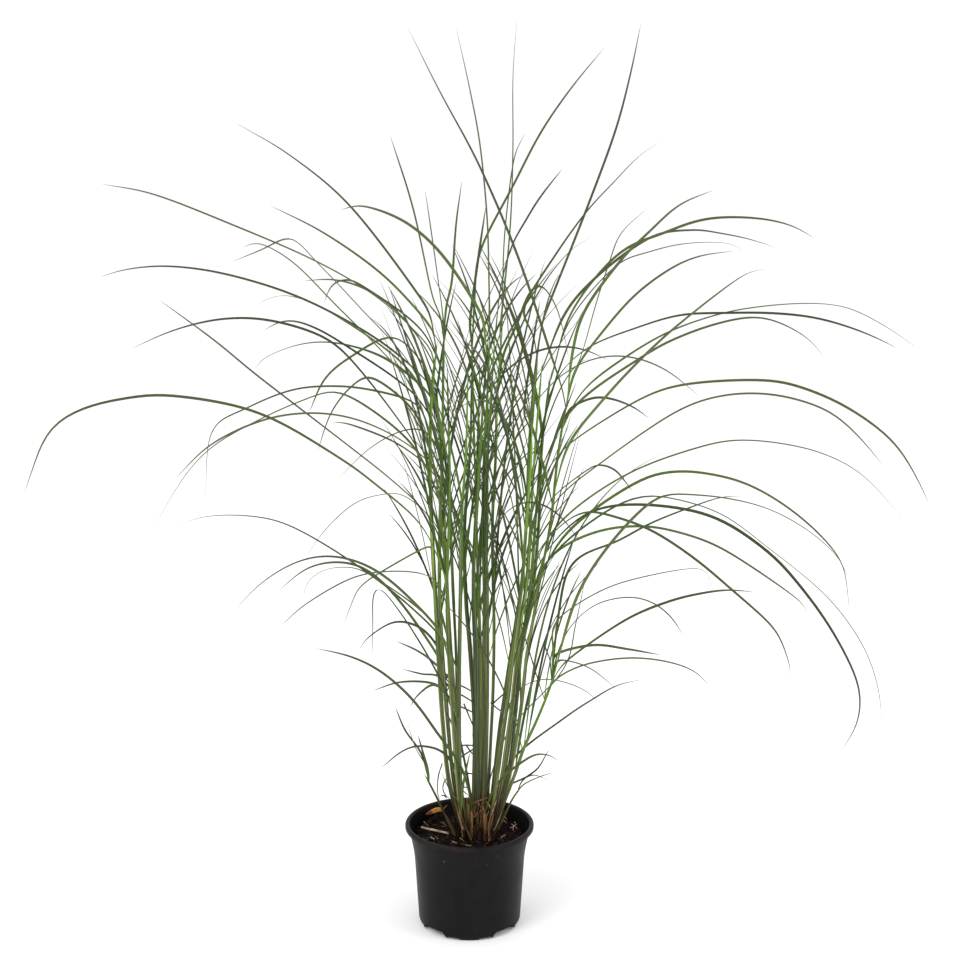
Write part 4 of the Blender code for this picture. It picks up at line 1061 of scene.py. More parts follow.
def grey(value):
    """A grey, or an even factor for all three colours."""
    return (value, value, value)


def blended(tree, factor, first, second, mode="MIX"):
    """Two colours mixed; factor is a socket or a number, each colour a socket or three numbers."""
    mixer = tree.nodes.new("ShaderNodeMix")
    mixer.data_type = "RGBA"
    mixer.blend_type = mode
    for socket, value in ((mixer.inputs[0], factor), (mixer.inputs[6], first), (mixer.inputs[7], second)):
        if isinstance(value, bpy.types.NodeSocket):
            tree.links.new(value, socket)
        elif isinstance(value, tuple):
            socket.default_value = (*value, 1.0)
        else:
            socket.default_value = value
    return mixer.outputs[2]


def tinted(tree, colour, factors):
    """A colour multiplied by another."""
    return blended(tree, 1.0, colour, factors, "MULTIPLY")


def sums(tree, operation, first, second, clamp=False):
    """One step of arithmetic on sockets or numbers."""
    step = tree.nodes.new("ShaderNodeMath")
    step.operation = operation
    step.use_clamp = clamp
    for socket, value in zip(step.inputs, (first, second)):
        if isinstance(value, bpy.types.NodeSocket):
            tree.links.new(value, socket)
        else:
            socket.default_value = value
    return step.outputs[0]


def add_relief(tree, shader, height, strength, distance):
    """Small relief of the surface, in metres."""
    relief = tree.nodes.new("ShaderNodeBump")
    relief.inputs["Strength"].default_value = strength
    relief.inputs["Distance"].default_value = distance
    tree.links.new(height, relief.inputs["Height"])
    tree.links.new(relief.outputs["Normal"], shader.inputs["Normal"])


print("helpers for finishes are ready")

# %% [markdown]
# ### Living grass
# The culms are grey green with pale veins. Along them also run pale streaks, which are painted highlights,
# and dark bands, which are painted shade between the culms. The blades start bright green at the collar
# and turn olive, and their last stretch fades to straw. The midrib is paler than the halves beside it.
# No two blades have quite the same green, so each one's own number shifts it. The shift is wide, so it
# also paints some blades and culms lighter, as if lit, and others darker, as if in shade. A painted image
# could hold these colours too, but marks and noise stay sharp from close by.

# %% Grass
BLADE_GREENS = [(0.00, (0.082, 0.160, 0.016)), (0.17, (0.060, 0.112, 0.017)), (0.42, (0.047, 0.077, 0.021)),
                (0.80, (0.045, 0.061, 0.027)), (1.00, (0.075, 0.082, 0.054))]
CULM_GREENS = [(0.00, (0.100, 0.096, 0.042)), (0.07, (0.088, 0.108, 0.044)), (0.38, (0.086, 0.112, 0.042)),
               (0.62, (0.080, 0.130, 0.030)), (1.00, (0.070, 0.148, 0.015))]
DRY_TONES = [(0.40, (0.010, 0.006, 0.004)), (0.53, (0.046, 0.026, 0.012)), (0.67, (0.300, 0.185, 0.080))]
# Each blade's and culm's own tint. Its wide range also paints some lighter, as if lit, and some darker, as if in
# shade
OWN_TINTS_AND_PAINTED_LIGHT = [(0.0, (0.52, 0.58, 0.60)), (0.5, grey(1.0)), (1.0, (1.36, 1.33, 1.02))]
# Streaks along the culms: pale ones are painted highlights, dark ones painted shade between the culms
CULM_PAINTED_LIGHT_BANDS = [(0.35, (0.38, 0.42, 0.43)), (0.50, grey(1.0)), (0.63, (2.15, 2.08, 1.85))]
MIDRIB_HALF_WIDTH = 0.00028
MIDRIB_GREEN = (0.160, 0.200, 0.090)


def grass_finish(name):
    """Green blades and culms, with veins, a pale midrib and dry ends."""
    made, tree, shader = new_finish(name, 0.45, 0.22)
    grain = read_mark(tree, "grain", "Vector")
    along = read_mark(tree, "along")
    veins = veined(tree, grain, (3200.0, 3200.0, 9.0))
    bands = veined(tree, grain, (620.0, 620.0, 5.0))
    patches = veined(tree, grain, (60.0, 60.0, 14.0), 3.0)
    green = blended(tree, read_mark(tree, "leafy"), grade(tree, along, CULM_GREENS),
                    grade(tree, along, BLADE_GREENS))
    # Own tint of each blade and culm, partly painted light and shade
    green = tinted(tree, green, grade(tree, read_mark(tree, "tone"), OWN_TINTS_AND_PAINTED_LIGHT))
    green = tinted(tree, green, grade(tree, veins, [(0.30, grey(0.74)), (0.70, (1.30, 1.28, 1.22))]))
    on_culms = sums(tree, "SUBTRACT", 1.0, read_mark(tree, "leafy"))
    # Painted highlights and painted shade, as streaks along the culms only
    green = blended(tree, on_culms, green, tinted(tree, green, grade(tree, bands, CULM_PAINTED_LIGHT_BANDS)))
    green = tinted(tree, green, grade(tree, patches, [(0.25, (0.86, 0.88, 0.90)), (0.75, (1.16, 1.12, 1.0))]))
    off_middle = sums(tree, "ABSOLUTE", one_axis(tree, grain, "X"), 0.0)
    midrib = sums(tree, "LESS_THAN", off_middle, MIDRIB_HALF_WIDTH)
    midrib = sums(tree, "MULTIPLY", midrib, read_mark(tree, "leafy"))
    midrib = sums(tree, "MULTIPLY", midrib, 0.35)
    green = blended(tree, midrib, green, MIDRIB_GREEN)
    straw = tinted(tree, grade(tree, bands, DRY_TONES), grade(tree, veins, [(0.3, grey(0.7)), (0.7, grey(1.3))]))
    uneven = sums(tree, "MULTIPLY", read_mark(tree, "dry"), sums(tree, "ADD", patches, 0.55), clamp=True)
    tree.links.new(blended(tree, uneven, green, straw), shader.inputs["Base Color"])
    tree.links.new(grade(tree, patches, [(0.2, grey(0.38)), (0.8, grey(0.56))]), shader.inputs["Roughness"])
    add_relief(tree, shader, veins, 0.5, 0.00012)
    return made


GRASS = grass_finish("living_grass")
print("grass finish has", len(GRASS.node_tree.nodes), "nodes")

# %% [markdown]
# ### Straw, bark and the dead leaf
# Dry stalks are tan, with darker streaks where they weather. They use the same grain as the living
# culms. The dead leaf is orange yellow, darker and browner in blotches. The husks at the foot of the
# clump run from tan to a burnt orange, the oldest stalk has kept some olive green, and a few bits on
# the soil are pale or grey. All of them are dry plant, so one function makes them, and only its
# colours and streaks change.

# %% Straw and dead leaf
def dry_finish(name, dark, light, blotch, roughness=0.75, darkest=0.62, far_end=None, streaks=(1.0, 1.0)):
    """A dead part: fine veins from dark to light, blotches and broader streaks over them."""
    made, tree, shader = new_finish(name, roughness, 0.2)
    grain = read_mark(tree, "grain", "Vector")
    veins = veined(tree, grain, (2200.0, 2200.0, 40.0))
    blotches = veined(tree, grain, (160.0, 160.0, 90.0), 3.0)
    colour = grade(tree, veins, [(0.28, dark), (0.72, light)])
    colour = blended(tree, grade(tree, blotches, [(0.50, grey(0.0)), (0.68, grey(0.85))]), colour, blotch)
    colour = tinted(tree, colour, grade(tree, read_mark(tree, "tone"), [(0.0, grey(darkest)), (1.0, grey(1.25))]))
    bands = veined(tree, grain, (620.0, 620.0, 14.0))
    colour = tinted(tree, colour, grade(tree, bands, [(0.38, grey(streaks[0])), (0.62, grey(streaks[1]))]))
    if far_end is not None:
        reddened = sums(tree, "ADD", read_mark(tree, "along"), sums(tree, "MULTIPLY", blotches, 0.4))
        colour = blended(tree, grade(tree, reddened, [(0.78, grey(0.0)), (0.92, grey(0.92))]), colour, far_end)
    tree.links.new(colour, shader.inputs["Base Color"])
    add_relief(tree, shader, veins, 0.6, 0.00015)
    return made


STRAW = dry_finish("pale_straw", (0.270, 0.190, 0.120), (0.520, 0.420, 0.310), (0.130, 0.070, 0.040),
                   streaks=(0.55, 1.15))
STUB = dry_finish("weathered_stub", (0.036, 0.018, 0.008), (0.240, 0.125, 0.048), (0.014, 0.007, 0.004), darkest=0.22,
                  streaks=(0.36, 1.50))
LEAF = dry_finish("dead_leaf", (0.300, 0.110, 0.014), (0.560, 0.270, 0.040), (0.120, 0.030, 0.010), 0.55,
                  far_end=(0.080, 0.012, 0.006))
BARK = dry_finish("bark_bits", (0.014, 0.005, 0.0035), (0.050, 0.018, 0.011), (0.006, 0.003, 0.002), 0.85)
THREAD = dry_finish("dry_thread", (0.045, 0.038, 0.028), (0.120, 0.100, 0.072), (0.026, 0.022, 0.018))
HUSK = dry_finish("torn_husk", (0.120, 0.046, 0.012), (0.500, 0.275, 0.100), (0.030, 0.012, 0.006), darkest=0.14,
                  streaks=(0.45, 1.40))
# Near black: the rotted sheaths' own dark brown, deepened as painted shade at the foot of the clump
ROTTED_AND_SHADE = dry_finish("rotted_husk", (0.010, 0.005, 0.0035), (0.055, 0.026, 0.013), (0.006, 0.004, 0.003), darkest=0.35)
OLD_STALK = dry_finish("olive_stalk", (0.085, 0.080, 0.022), (0.210, 0.190, 0.062), (0.060, 0.045, 0.018),
                       streaks=(0.50, 1.30))
PALE_BITS = dry_finish("pale_bits", (0.420, 0.300, 0.240), (0.640, 0.520, 0.440), (0.430, 0.210, 0.180))
GREY_BITS = dry_finish("grey_bits", (0.130, 0.135, 0.095), (0.260, 0.260, 0.190), (0.090, 0.075, 0.050))
print("dry finishes:", ", ".join(finish.name for finish in (STRAW, STUB, LEAF, BARK, THREAD, HUSK, ROTTED_AND_SHADE, OLD_STALK,
                                                           PALE_BITS, GREY_BITS)))

# %% [markdown]
# ### Potting soil
# Moist potting mix is almost black. Its lumps differ from each other by a little brown and red, which
# a cell pattern gives, one tone to a cell. Smooth noise alone would blur them into clouds.

# %% Soil
def soil_finish(name):
    """Dark crumbs, each cell with its own tone."""
    made, tree, shader = new_finish(name, 0.95, 0.06)
    place = place_in_object(tree)
    cells = tree.nodes.new("ShaderNodeTexVoronoi")
    cells.inputs["Scale"].default_value = 420.0
    tree.links.new(place, cells.inputs["Vector"])
    parts = tree.nodes.new("ShaderNodeSeparateColor")
    tree.links.new(cells.outputs["Color"], parts.inputs["Color"])
    lumps = grade(tree, parts.outputs["Red"], [(0.0, (0.0022, 0.0015, 0.0014)), (0.55, (0.0042, 0.0024, 0.0020)),
                                               (0.85, (0.0095, 0.0038, 0.0030)), (1.0, (0.0240, 0.0080, 0.0056))])
    fine = speckle(tree, place, 900.0, 4.0, 0.65)
    colour = tinted(tree, lumps, grade(tree, fine, [(0.3, grey(0.55)), (0.7, grey(1.5))]))
    tree.links.new(colour, shader.inputs["Base Color"])
    add_relief(tree, shader, fine, 0.8, 0.0006)
    return made


SOIL = soil_finish("potting_soil")
print("soil finish has", len(SOIL.node_tree.nodes), "nodes")

# %% [markdown]
# ### Black plastic
# The pot is thin moulded plastic, black with a soft sheen. Its wall isn't quite even, so the sheen
# breaks up a little, a thin reddish film of potting dust lies on the lip, and a few specks of dust
# cling to the front. One even black would look like a hole in the picture. The specks could be painted
# on an image, but spots round points of the wall need none.

# %% Plastic
DUST_SPECKS = (((443.5, 862), 0.0019), ((463, 866), 0.0012), ((487, 864.5), 0.0012), ((496, 856), 0.0015),
               ((512, 884), 0.0013), ((447, 861), 0.0008), ((499, 858), 0.0008))
POT_COLUMN = 469.0
WALL_DEPTH = -0.082
WALL_CURVE = 1.4e-5
LIP_FOOT = 0.1480


def plastic_finish(name):
    """Black with a soft sheen, a film of dust on the lip and specks on the front."""
    made, tree, shader = new_finish(name, 0.46, 0.085)
    place = place_in_object(tree)
    broad = speckle(tree, place, 38.0, 3.0)
    fine = speckle(tree, place, 1500.0, 2.0)
    colour = grade(tree, broad, [(0.30, (0.0054, 0.0047, 0.0054)), (0.72, (0.0082, 0.0072, 0.0083))])
    on_lip = sums(tree, "GREATER_THAN", one_axis(tree, place, "Z"), LIP_FOOT)
    lip_film = sums(tree, "MULTIPLY", on_lip, grade(tree, broad, [(0.35, grey(0.02)), (0.7, grey(0.32))]))
    colour = blended(tree, lip_film, colour, (0.034, 0.018, 0.017))
    ragged = speckle(tree, place, 1100.0, 3.0, 0.7)
    dust = None
    for pixel, radius in DUST_SPECKS:
        aim = tree.nodes.new("ShaderNodeVectorMath")
        aim.operation = "DISTANCE"
        tree.links.new(place, aim.inputs[0])
        depth = WALL_DEPTH + 0.5 * abs(pixel[0] - POT_COLUMN) ** 2 * WALL_CURVE
        aim.inputs[1].default_value = at_depth(pixel, depth)
        near = sums(tree, "DIVIDE", aim.outputs["Value"], radius * 2.0)
        spot = sums(tree, "LESS_THAN", near, ragged)
        dust = spot if dust is None else sums(tree, "MAXIMUM", dust, spot)
    film = grade(tree, speckle(tree, stretched(tree, place, (1.0, 1.0, 0.35)), 90.0, 4.0, 0.6),
                 [(0.55, grey(0.0)), (0.85, grey(0.06))])
    colour = blended(tree, film, colour, (0.060, 0.056, 0.052))
    colour = blended(tree, sums(tree, "MULTIPLY", dust, 0.45), colour, (0.085, 0.078, 0.074))
    tree.links.new(colour, shader.inputs["Base Color"])
    tree.links.new(grade(tree, broad, [(0.25, grey(0.38)), (0.75, grey(0.50))]), shader.inputs["Roughness"])
    add_relief(tree, shader, fine, 0.25, 0.00006)
    return made


PLASTIC = plastic_finish("black_plastic")
print("plastic finish has", len(PLASTIC.node_tree.nodes), "nodes")

# %% [markdown]
# ## The shoots in fine form
# Each shoot is laid again on the line of its solid. Its blades start on the culm's middle line, folded
# inside the sheath, and come free where they bend away. A short dry husk clasps the foot, which is
# what is left of the oldest sheath. The inside of the clump also holds many narrow blades that stay
# nearly upright and cross each other. They are too fine for the solids, so they are added here, to
# the shoots that carry them, by the same rule that the arching blades follow.

# %% What a shoot carries besides its blades
HUSK_WIDTH = 0.0042
HUSK_STEPS = 8
HUSK_ROOTED = 0.004
INNER_ATTEMPTS = 24
INNER_TOP_ROW = 214.0
INNER_SPREAD = 104.0
CLUMP_COLUMN = 482.0
FULL_COLUMNS = (478.0, 534.0)


def on_culm(line, run, height):
    """Point of a culm's fine line at a height along it."""
    place = int(np.searchsorted(run, height))
    place = min(max(place, 1), len(run) - 1)
    share = (height - run[place - 1]) / (run[place] - run[place - 1])
    return line[place - 1].lerp(line[place], min(1.0, max(0.0, share)))


def nearest_height(line, run, point):
    """How far along a culm's fine line a point is."""
    distances = [(spot - point).length for spot in line]
    return run[distances.index(min(distances))]


def level_way(turn):
    """Level direction at a turn round the upright."""
    return Vector((math.cos(turn), math.sin(turn), 0.0))


def add_husk(bundle, line, run, radius, turn, height, rng):
    """A dry remnant of a sheath that clasps the culm and comes loose at its top."""
    outward = level_way(turn)
    points = []
    for step in range(HUSK_STEPS + 1):
        share = step / HUSK_STEPS
        loose = 0.0008 * share + rng.uniform(0.002, 0.006) * max(0.0, share - 0.55) ** 2 * 4.0
        middle = on_culm(line, run, ROOTED_DEPTH - HUSK_ROOTED + height * share)
        points.append(middle + outward * (radius * 0.92 + loose))
    add_fine_blade(bundle, spline(points, 16), max(HUSK_WIDTH, radius * 1.7), rng.uniform(-0.5, 0.5),
                   rng.random(), 1.0, dry_base=rng.uniform(0.75, 1.0), fold=0.9, across=level_across(outward))


def inner_blade(shoot, rng):
    """A narrow blade that rises through the clump and keeps clear of the other shoots, or None."""
    for _ in range(INNER_ATTEMPTS):
        turn = rng.uniform(-0.55, 0.55) + rng.choice((0.0, math.pi))
        start_lean, end_lean = math.radians(rng.uniform(7.0, 17.0)), math.radians(rng.uniform(14.0, 52.0))
        length = rng.uniform(0.16, 0.40)
        width = BLADE_WIDTH * rng.uniform(0.66, 0.98)
        points = arching_blade(shoot.point_up(rng.uniform(0.36, 0.97)), turn, length, start_lean, end_lean)
        tip = points[-1]
        off_middle = abs(CLUMP_COLUMN - column_of(tip))
        if row_of(tip) < INNER_TOP_ROW + 0.5 * off_middle or off_middle > INNER_SPREAD:
            continue
        if FULL_COLUMNS[0] < column_of(tip) < FULL_COLUMNS[1] and rng.random() < 0.6:
            continue
        if blade_is_clear(points, width, 0.0, everyone, shoot):
            shoot.trees.append(blade_tree(points, width, 0.0))
            return points, width, rng.uniform(-0.8, 0.8)
    return None


print("an inner blade gets", INNER_ATTEMPTS, "tries to find its way")

# %% Lay the shoots
DETAIL_SEED = 23
BLADE_RINGS = 64
INNER_PER_SHOOT = 6
WIDTH_SCALE = 0.97
YOUNG_SCALE = 1.35
COLLAR_ABOVE = 0.012


def build_fine_shoot(name, shoot, inner, width_scale, rng):
    """One shoot as one mesh: its culm, all its blades and a husk at its foot."""
    bundle = Bundle()
    blades = shoot.blades + inner
    culm_line = spline(shoot.line, CULM_RINGS)
    culm_run = np.concatenate([[0.0], np.cumsum([(b - a).length for a, b in zip(culm_line, culm_line[1:])])])
    heights = [nearest_height(culm_line, culm_run, points[0]) for points, _, _ in blades]
    collars = sorted(height + COLLAR_ABOVE for height in heights)
    line, run = add_fine_culm(bundle, shoot, culm_line, collars, rng)
    for (points, width, twist), height in zip(blades, heights):
        start = on_culm(culm_line, culm_run, height)
        path = spline(eased_line([start] + list(points[1:])), BLADE_RINGS)
        roll = rng.uniform(0.5, 1.0) * rng.choice((-1.0, 1.0))
        add_fine_blade(bundle, path, width * width_scale, twist, rng.random(), rng.uniform(0.15, 0.65), roll=roll)
    add_husk(bundle, line, run, shoot.foot_radius, rng.uniform(0.0, math.tau), rng.uniform(0.018, 0.050), rng)
    return place_piece(name, bundle.mesh(name), GRASS, [shoot.name])


detail_rng = random.Random(DETAIL_SEED)
face_count = inner_count = 0
for shoot in everyone:
    tall = shoot in shoots
    inner = [inner_blade(shoot, detail_rng) for _ in range(INNER_PER_SHOOT if tall else 0)]
    inner = [blade for blade in inner if blade is not None]
    inner_count += len(inner)
    piece = build_fine_shoot(("grass_" if tall else "young_") + shoot.name, shoot, inner,
                             WIDTH_SCALE if tall else YOUNG_SCALE, detail_rng)
    face_count += len(piece.data.polygons)
print("shoots laid:", len(everyone), "with", face_count, "faces and", inner_count, "inner blades")

# %% [markdown]
# ## Cut stubs
# Last year's culms were cut off just above the soil. A stub is a hollow, weathered tube: its wall
# splits and frays at the top, and the pith inside has shrunk away. A hole cut into a cylinder would
# have a clean edge, so the rings of one tube rise to a ragged edge instead and turn down inside it.

# %% Stubs
STUBS = {  # pixel of the foot, height, radius, lean to the right and to the back
    "dead_stub_1": ((470.5, 830.5), 0.052, 0.0044, (-0.05, 0.00)),
    "dead_stub_2": ((472, 838), 0.046, 0.0022, (-0.02, -0.06)),
    "dead_stub_3": ((480, 839), 0.042, 0.0020, (0.03, -0.05)),
    "dead_stub_4": ((485.5, 839.5), 0.044, 0.0030, (-0.02, -0.08)),
    "dead_stub_5": ((489.5, 841), 0.034, 0.0021, (0.02, -0.04)),
    "dead_stub_6": ((500, 826), 0.024, 0.0022, (0.25, 0.10)),
}
TUBE_SIDES = 20
STALK_RINGS = 14
HOLLOW = ((0.4, 0.62), (2.2, 0.50), (2.6, 0.10))  # steps below the top, share of the radius
FRAYED_RINGS = (0.5, 1.0, 0.9)
STRIPS_PER_STUB = 2
STUB_ROOTED = 0.18


def square_to(way):
    """A level direction well away from another one."""
    return np.array((1.0, 0.0, 0.0)) if abs(way[0]) < 0.8 else np.array((0.0, 1.0, 0.0))


def hollow_stalk(bundle, foot, axis, radius, rng):
    """A dry tube with a frayed, hollow end, for a stub or a loose piece of stalk."""
    bend = Vector((rng.uniform(-1.0, 1.0), rng.uniform(-1.0, 1.0), 0.0)) * axis.length * 0.02
    shares = list(np.linspace(0.0, 1.0, STALK_RINGS))
    swell = [radius * (1.06 - 0.16 * share + 0.05 * math.sin(9.0 * share + radius * 9000.0)) for share in shares]
    shares += [1.0 - below / STALK_RINGS for below, _ in HOLLOW]
    swell += [radius * part for _, part in HOLLOW]
    middles = [foot + axis * share + bend * math.sin(math.pi * share) for share in shares]
    turns = all_round(TUBE_SIDES)
    fray = radius * (0.9 * np.cos(turns - rng.uniform(0.0, 6.0)) + 0.5 * np.sin(3.0 * turns + rng.uniform(0.0, 6.0)))
    fray = fray + np.array([rng.uniform(-0.35, 0.35) * radius for _ in turns])
    weight = np.zeros(len(middles))
    weight[STALK_RINGS - 2:STALK_RINGS + 1] = FRAYED_RINGS
    ragged = weight[:, None] * fray[None, :] - weight[:, None] * radius * 0.9
    points = np.array([tuple(middle) for middle in middles])
    along = np.array(tuple(axis.normalized()))
    across = square_to(along)
    side = across - along * (along @ across)
    side /= np.linalg.norm(side)
    radii = np.array(swell)[:, None]
    rings = round_rings(points, side, np.cross(along, side), radii, turns) + along * ragged[..., None]
    tone = rng.random()
    grain = np.zeros(rings.shape)
    grain[..., 0] = radii * np.cos(turns)
    grain[..., 1] = radii * np.sin(turns) + tone
    grain[..., 2] = (points @ along)[:, None] + tone
    bundle.add(rings, np.linspace(0.0, 1.0, len(middles)), grain, dry=1.0, tone=tone, leafy=0.0)


for name, (pixel, height, radius, lean) in STUBS.items():
    solid_low, solid_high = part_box(name)
    foot = at_height(pixel, SOIL_TOP)
    axis = Vector((lean[0], lean[1], 1.0)) * height
    bundle = Bundle()
    hollow_stalk(bundle, foot - axis * STUB_ROOTED, axis * (1.0 + STUB_ROOTED), radius, detail_rng)
    for _ in range(STRIPS_PER_STUB):
        outward = level_way(detail_rng.uniform(0.0, math.tau))
        reach = detail_rng.uniform(0.5, 0.85)
        points = [foot - axis * 0.1 + axis * reach * step / 5.0 + outward * radius * (0.95 + 0.5 * (step / 5.0) ** 3)
                  for step in range(6)]
        add_fine_blade(bundle, spline(points, 12), radius * 1.2, 0.2, detail_rng.random(), 1.0, dry_base=1.0,
                       across=level_across(outward))
    finish = OLD_STALK if name == "dead_stub_1" else STUB
    place_piece("weathered_" + name, bundle.mesh(name), finish, [name])
    print(name, "top at", round(solid_high.z * 1000.0), "mm, its foot", round(solid_low.z * 1000.0), "mm")

# %% [markdown]
# ## Torn husks in front
# Old sheaths stand in front of the culms as torn, curled sheets, tan to burnt orange, and behind them
# older ones that have rotted. These are nearly black, partly from their own rot and partly as painted
# shade at the foot of the clump. Sheaths tear along their veins, so one husk is made of a few narrow
# strips side by side round a shallow arc, each with its own length, and some bend forward at their tips.

# %% Husks
HUSKS = (  # pixel of the foot, height, width, lean to the right
    ((472.5, 835.5), 0.050, 0.0040, -0.06), ((477.0, 837.0), 0.040, 0.0045, 0.10),
    ((481.5, 837.5), 0.060, 0.0040, -0.04), ((485.5, 838.5), 0.052, 0.0045, 0.06),
    ((489.0, 838.0), 0.058, 0.0045, 0.16), ((493.0, 836.0), 0.040, 0.0042, 0.30),
    ((496.0, 833.0), 0.046, 0.0040, 0.22), ((462.5, 832.5), 0.020, 0.0040, -0.30),
    ((478.5, 838.5), 0.026, 0.0045, -0.55), ((487.0, 839.5), 0.024, 0.0045, 0.20),
    ((474.5, 836.5), 0.030, 0.0040, -0.35), ((483.5, 838.5), 0.034, 0.0042, 0.02),
    ((479.5, 836.0), 0.064, 0.0040, 0.05))
# Near-black sheets behind the tan husks: partly rotted sheaths, partly painted shade at the foot of the clump
ROTTED_AND_SHADE_HUSKS = (
    ((470.5, 837.0), 0.034, 0.0080, -0.05), ((475.0, 838.5), 0.040, 0.0085, 0.02),
    ((480.0, 839.5), 0.036, 0.0080, -0.08), ((485.0, 840.5), 0.030, 0.0085, 0.06),
    ((490.0, 839.5), 0.044, 0.0080, 0.12), ((495.0, 836.5), 0.040, 0.0075, 0.26),
    ((458.0, 834.0), 0.022, 0.0060, -0.10), ((466.5, 835.0), 0.030, 0.0070, 0.05))
STRIPS_PER_HUSK = 4
STRIP_STEPS = 7
STRIP_ROOTED = 0.003
HUSK_ARC = 1.5


def torn_husk(bundle, pixel, height, width, lean, rng):
    """One old sheath: strips side by side round a shallow arc, each torn at its own length."""
    foot = at_height(pixel, SOIL_TOP)
    facing = rng.uniform(-0.5, 0.5) - math.pi / 2.0
    arc_radius = width / HUSK_ARC
    for strip in range(STRIPS_PER_HUSK):
        outward = level_way(facing + HUSK_ARC * (strip / (STRIPS_PER_HUSK - 1.0) - 0.5))
        reach = height * rng.uniform(0.30, 1.0)
        curl = rng.uniform(-0.002, 0.014)
        sway = rng.uniform(-0.006, 0.006)
        points = []
        for step in range(STRIP_STEPS + 1):
            share = step / STRIP_STEPS
            up = -STRIP_ROOTED + (reach + STRIP_ROOTED) * (share - 0.10 * share ** 4.0 * rng.random())
            middle = foot + Vector((lean * up + sway * share ** 2.0, 0.0, up))
            points.append(middle + outward * (arc_radius * 0.6 + curl * share ** 3.0))
        add_fine_blade(bundle, spline(points, 20), width / rng.uniform(2.4, 4.4), rng.uniform(-1.2, 1.2),
                       rng.random(), 1.0, dry_base=1.0, fold=0.25, across=level_across(outward))


for name, husks, finish in (("torn_husks", HUSKS, HUSK), ("rotted_husks", ROTTED_AND_SHADE_HUSKS, ROTTED_AND_SHADE)):
    bundle = Bundle()
    for pixel, height, width, lean in husks:
        torn_husk(bundle, pixel, height, width, lean, detail_rng)
    place_piece(name, bundle.mesh(name), finish)
    print(name, "are", len(husks), "of", STRIPS_PER_HUSK, "strips each")

# %% [markdown]
# ## Loose straw and the dead leaf
# Two broken pieces of stalk lie on the soil, and behind them an orange leaf with its brown stalk. They
# are placed by their two ends in the photograph, resting on the soil's solid. The straws are tubes
# like the stubs, and the leaf is one broad blade, so no new form is needed.

# %% Straw
STRAWS = {"straw_long": (((421, 828), (449, 834)), 0.0019), "straw_short": (((500, 818), (507, 824)), 0.0011)}

for name, (ends, radius) in STRAWS.items():
    start, end = [at_height(pixel, SOIL_TOP + radius) for pixel in ends]
    start.z = end.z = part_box(name)[0].z + radius
    bundle = Bundle()
    hollow_stalk(bundle, start.lerp(end, 0.02), (end - start) * 0.97, radius * 0.95, detail_rng)
    place_piece("dry_" + name, bundle.mesh(name), STRAW, [name])
    print(name, round((end - start).length * 1000.0), "mm long")

# %% The fallen leaf
FALLEN_LEAF = ((430, 815), (443, 810))
STALK_TIP = (449, 804)
LEAF_WIDTH = 0.0092
LEAF_REACH = 1.32
LEAF_LIFT = 0.0030
MOUND_HEIGHT = 0.0075
STALK_STEPS = 12

leaf_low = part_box("fallen_leaf")[0]
start, end = [at_height(pixel, SOIL_TOP + MOUND_HEIGHT) for pixel in FALLEN_LEAF]
start.z = end.z = leaf_low.z + 0.0008
direction = end - start
level_side = Vector((-direction.y, direction.x, 0.0)).normalized()
leaf_line = []
for step in range(7):
    share = step / 6.0
    rise = 0.0022 * math.sin(math.pi * share) + 0.0006 * math.sin(7.0 * share)
    rise += LEAF_LIFT * (1.0 + share * share) / 2.0
    leaf_line.append(end - direction * share * LEAF_REACH + level_side * 0.0015 * math.sin(3.0 * share)
                     + Vector((0, 0, rise)))
bundle = Bundle()
add_fine_blade(bundle, spline(leaf_line, 40), LEAF_WIDTH, 0.2, 0.9, 1.0, dry_base=1.0, fold=0.30, roll=-0.55,
               across=np.array(tuple(level_side)))
stalk_tip = at_height(STALK_TIP, SOIL_TOP + MOUND_HEIGHT + 0.004)
stalk_line = spline([leaf_line[0], leaf_line[0].lerp(stalk_tip, 0.5) + Vector((0, 0, 0.0006)), stalk_tip],
                    STALK_STEPS)
turns = all_round(TUBE_SIDES)
points, side, up = line_frame(stalk_line, square_to((stalk_line[-1] - stalk_line[0]).normalized()),
                              np.zeros(STALK_STEPS + 1))
rings = round_rings(points, side, up, np.linspace(0.0007, 0.0004, STALK_STEPS + 1)[:, None], turns)
grain = np.zeros(rings.shape)
grain[..., 0] = 0.0005 * np.cos(turns)
grain[..., 2] = np.linspace(0.0, 0.02, STALK_STEPS + 1)[:, None]
bundle.add(rings, np.linspace(0.0, 1.0, STALK_STEPS + 1), grain, dry=1.0, tone=0.15, leafy=0.0)
place_piece("orange_fallen_leaf", bundle.mesh("fallen_leaf"), LEAF, ["fallen_leaf"])
print("fallen leaf lies", round(leaf_low.z * 1000.0), "mm up, on the soil")

# %% [markdown]
# ## The pot
# A nursery pot is one thin moulding. Half of its section, turned round the axis, gives the whole wall:
# the floor, the tapered body, a wider collar, and a lip that rolls outwards and hangs down. A stack of
# cylinders would leave seams between them. Real plastic has no sharp corners, so each corner of the
# section is rounded before it is turned.

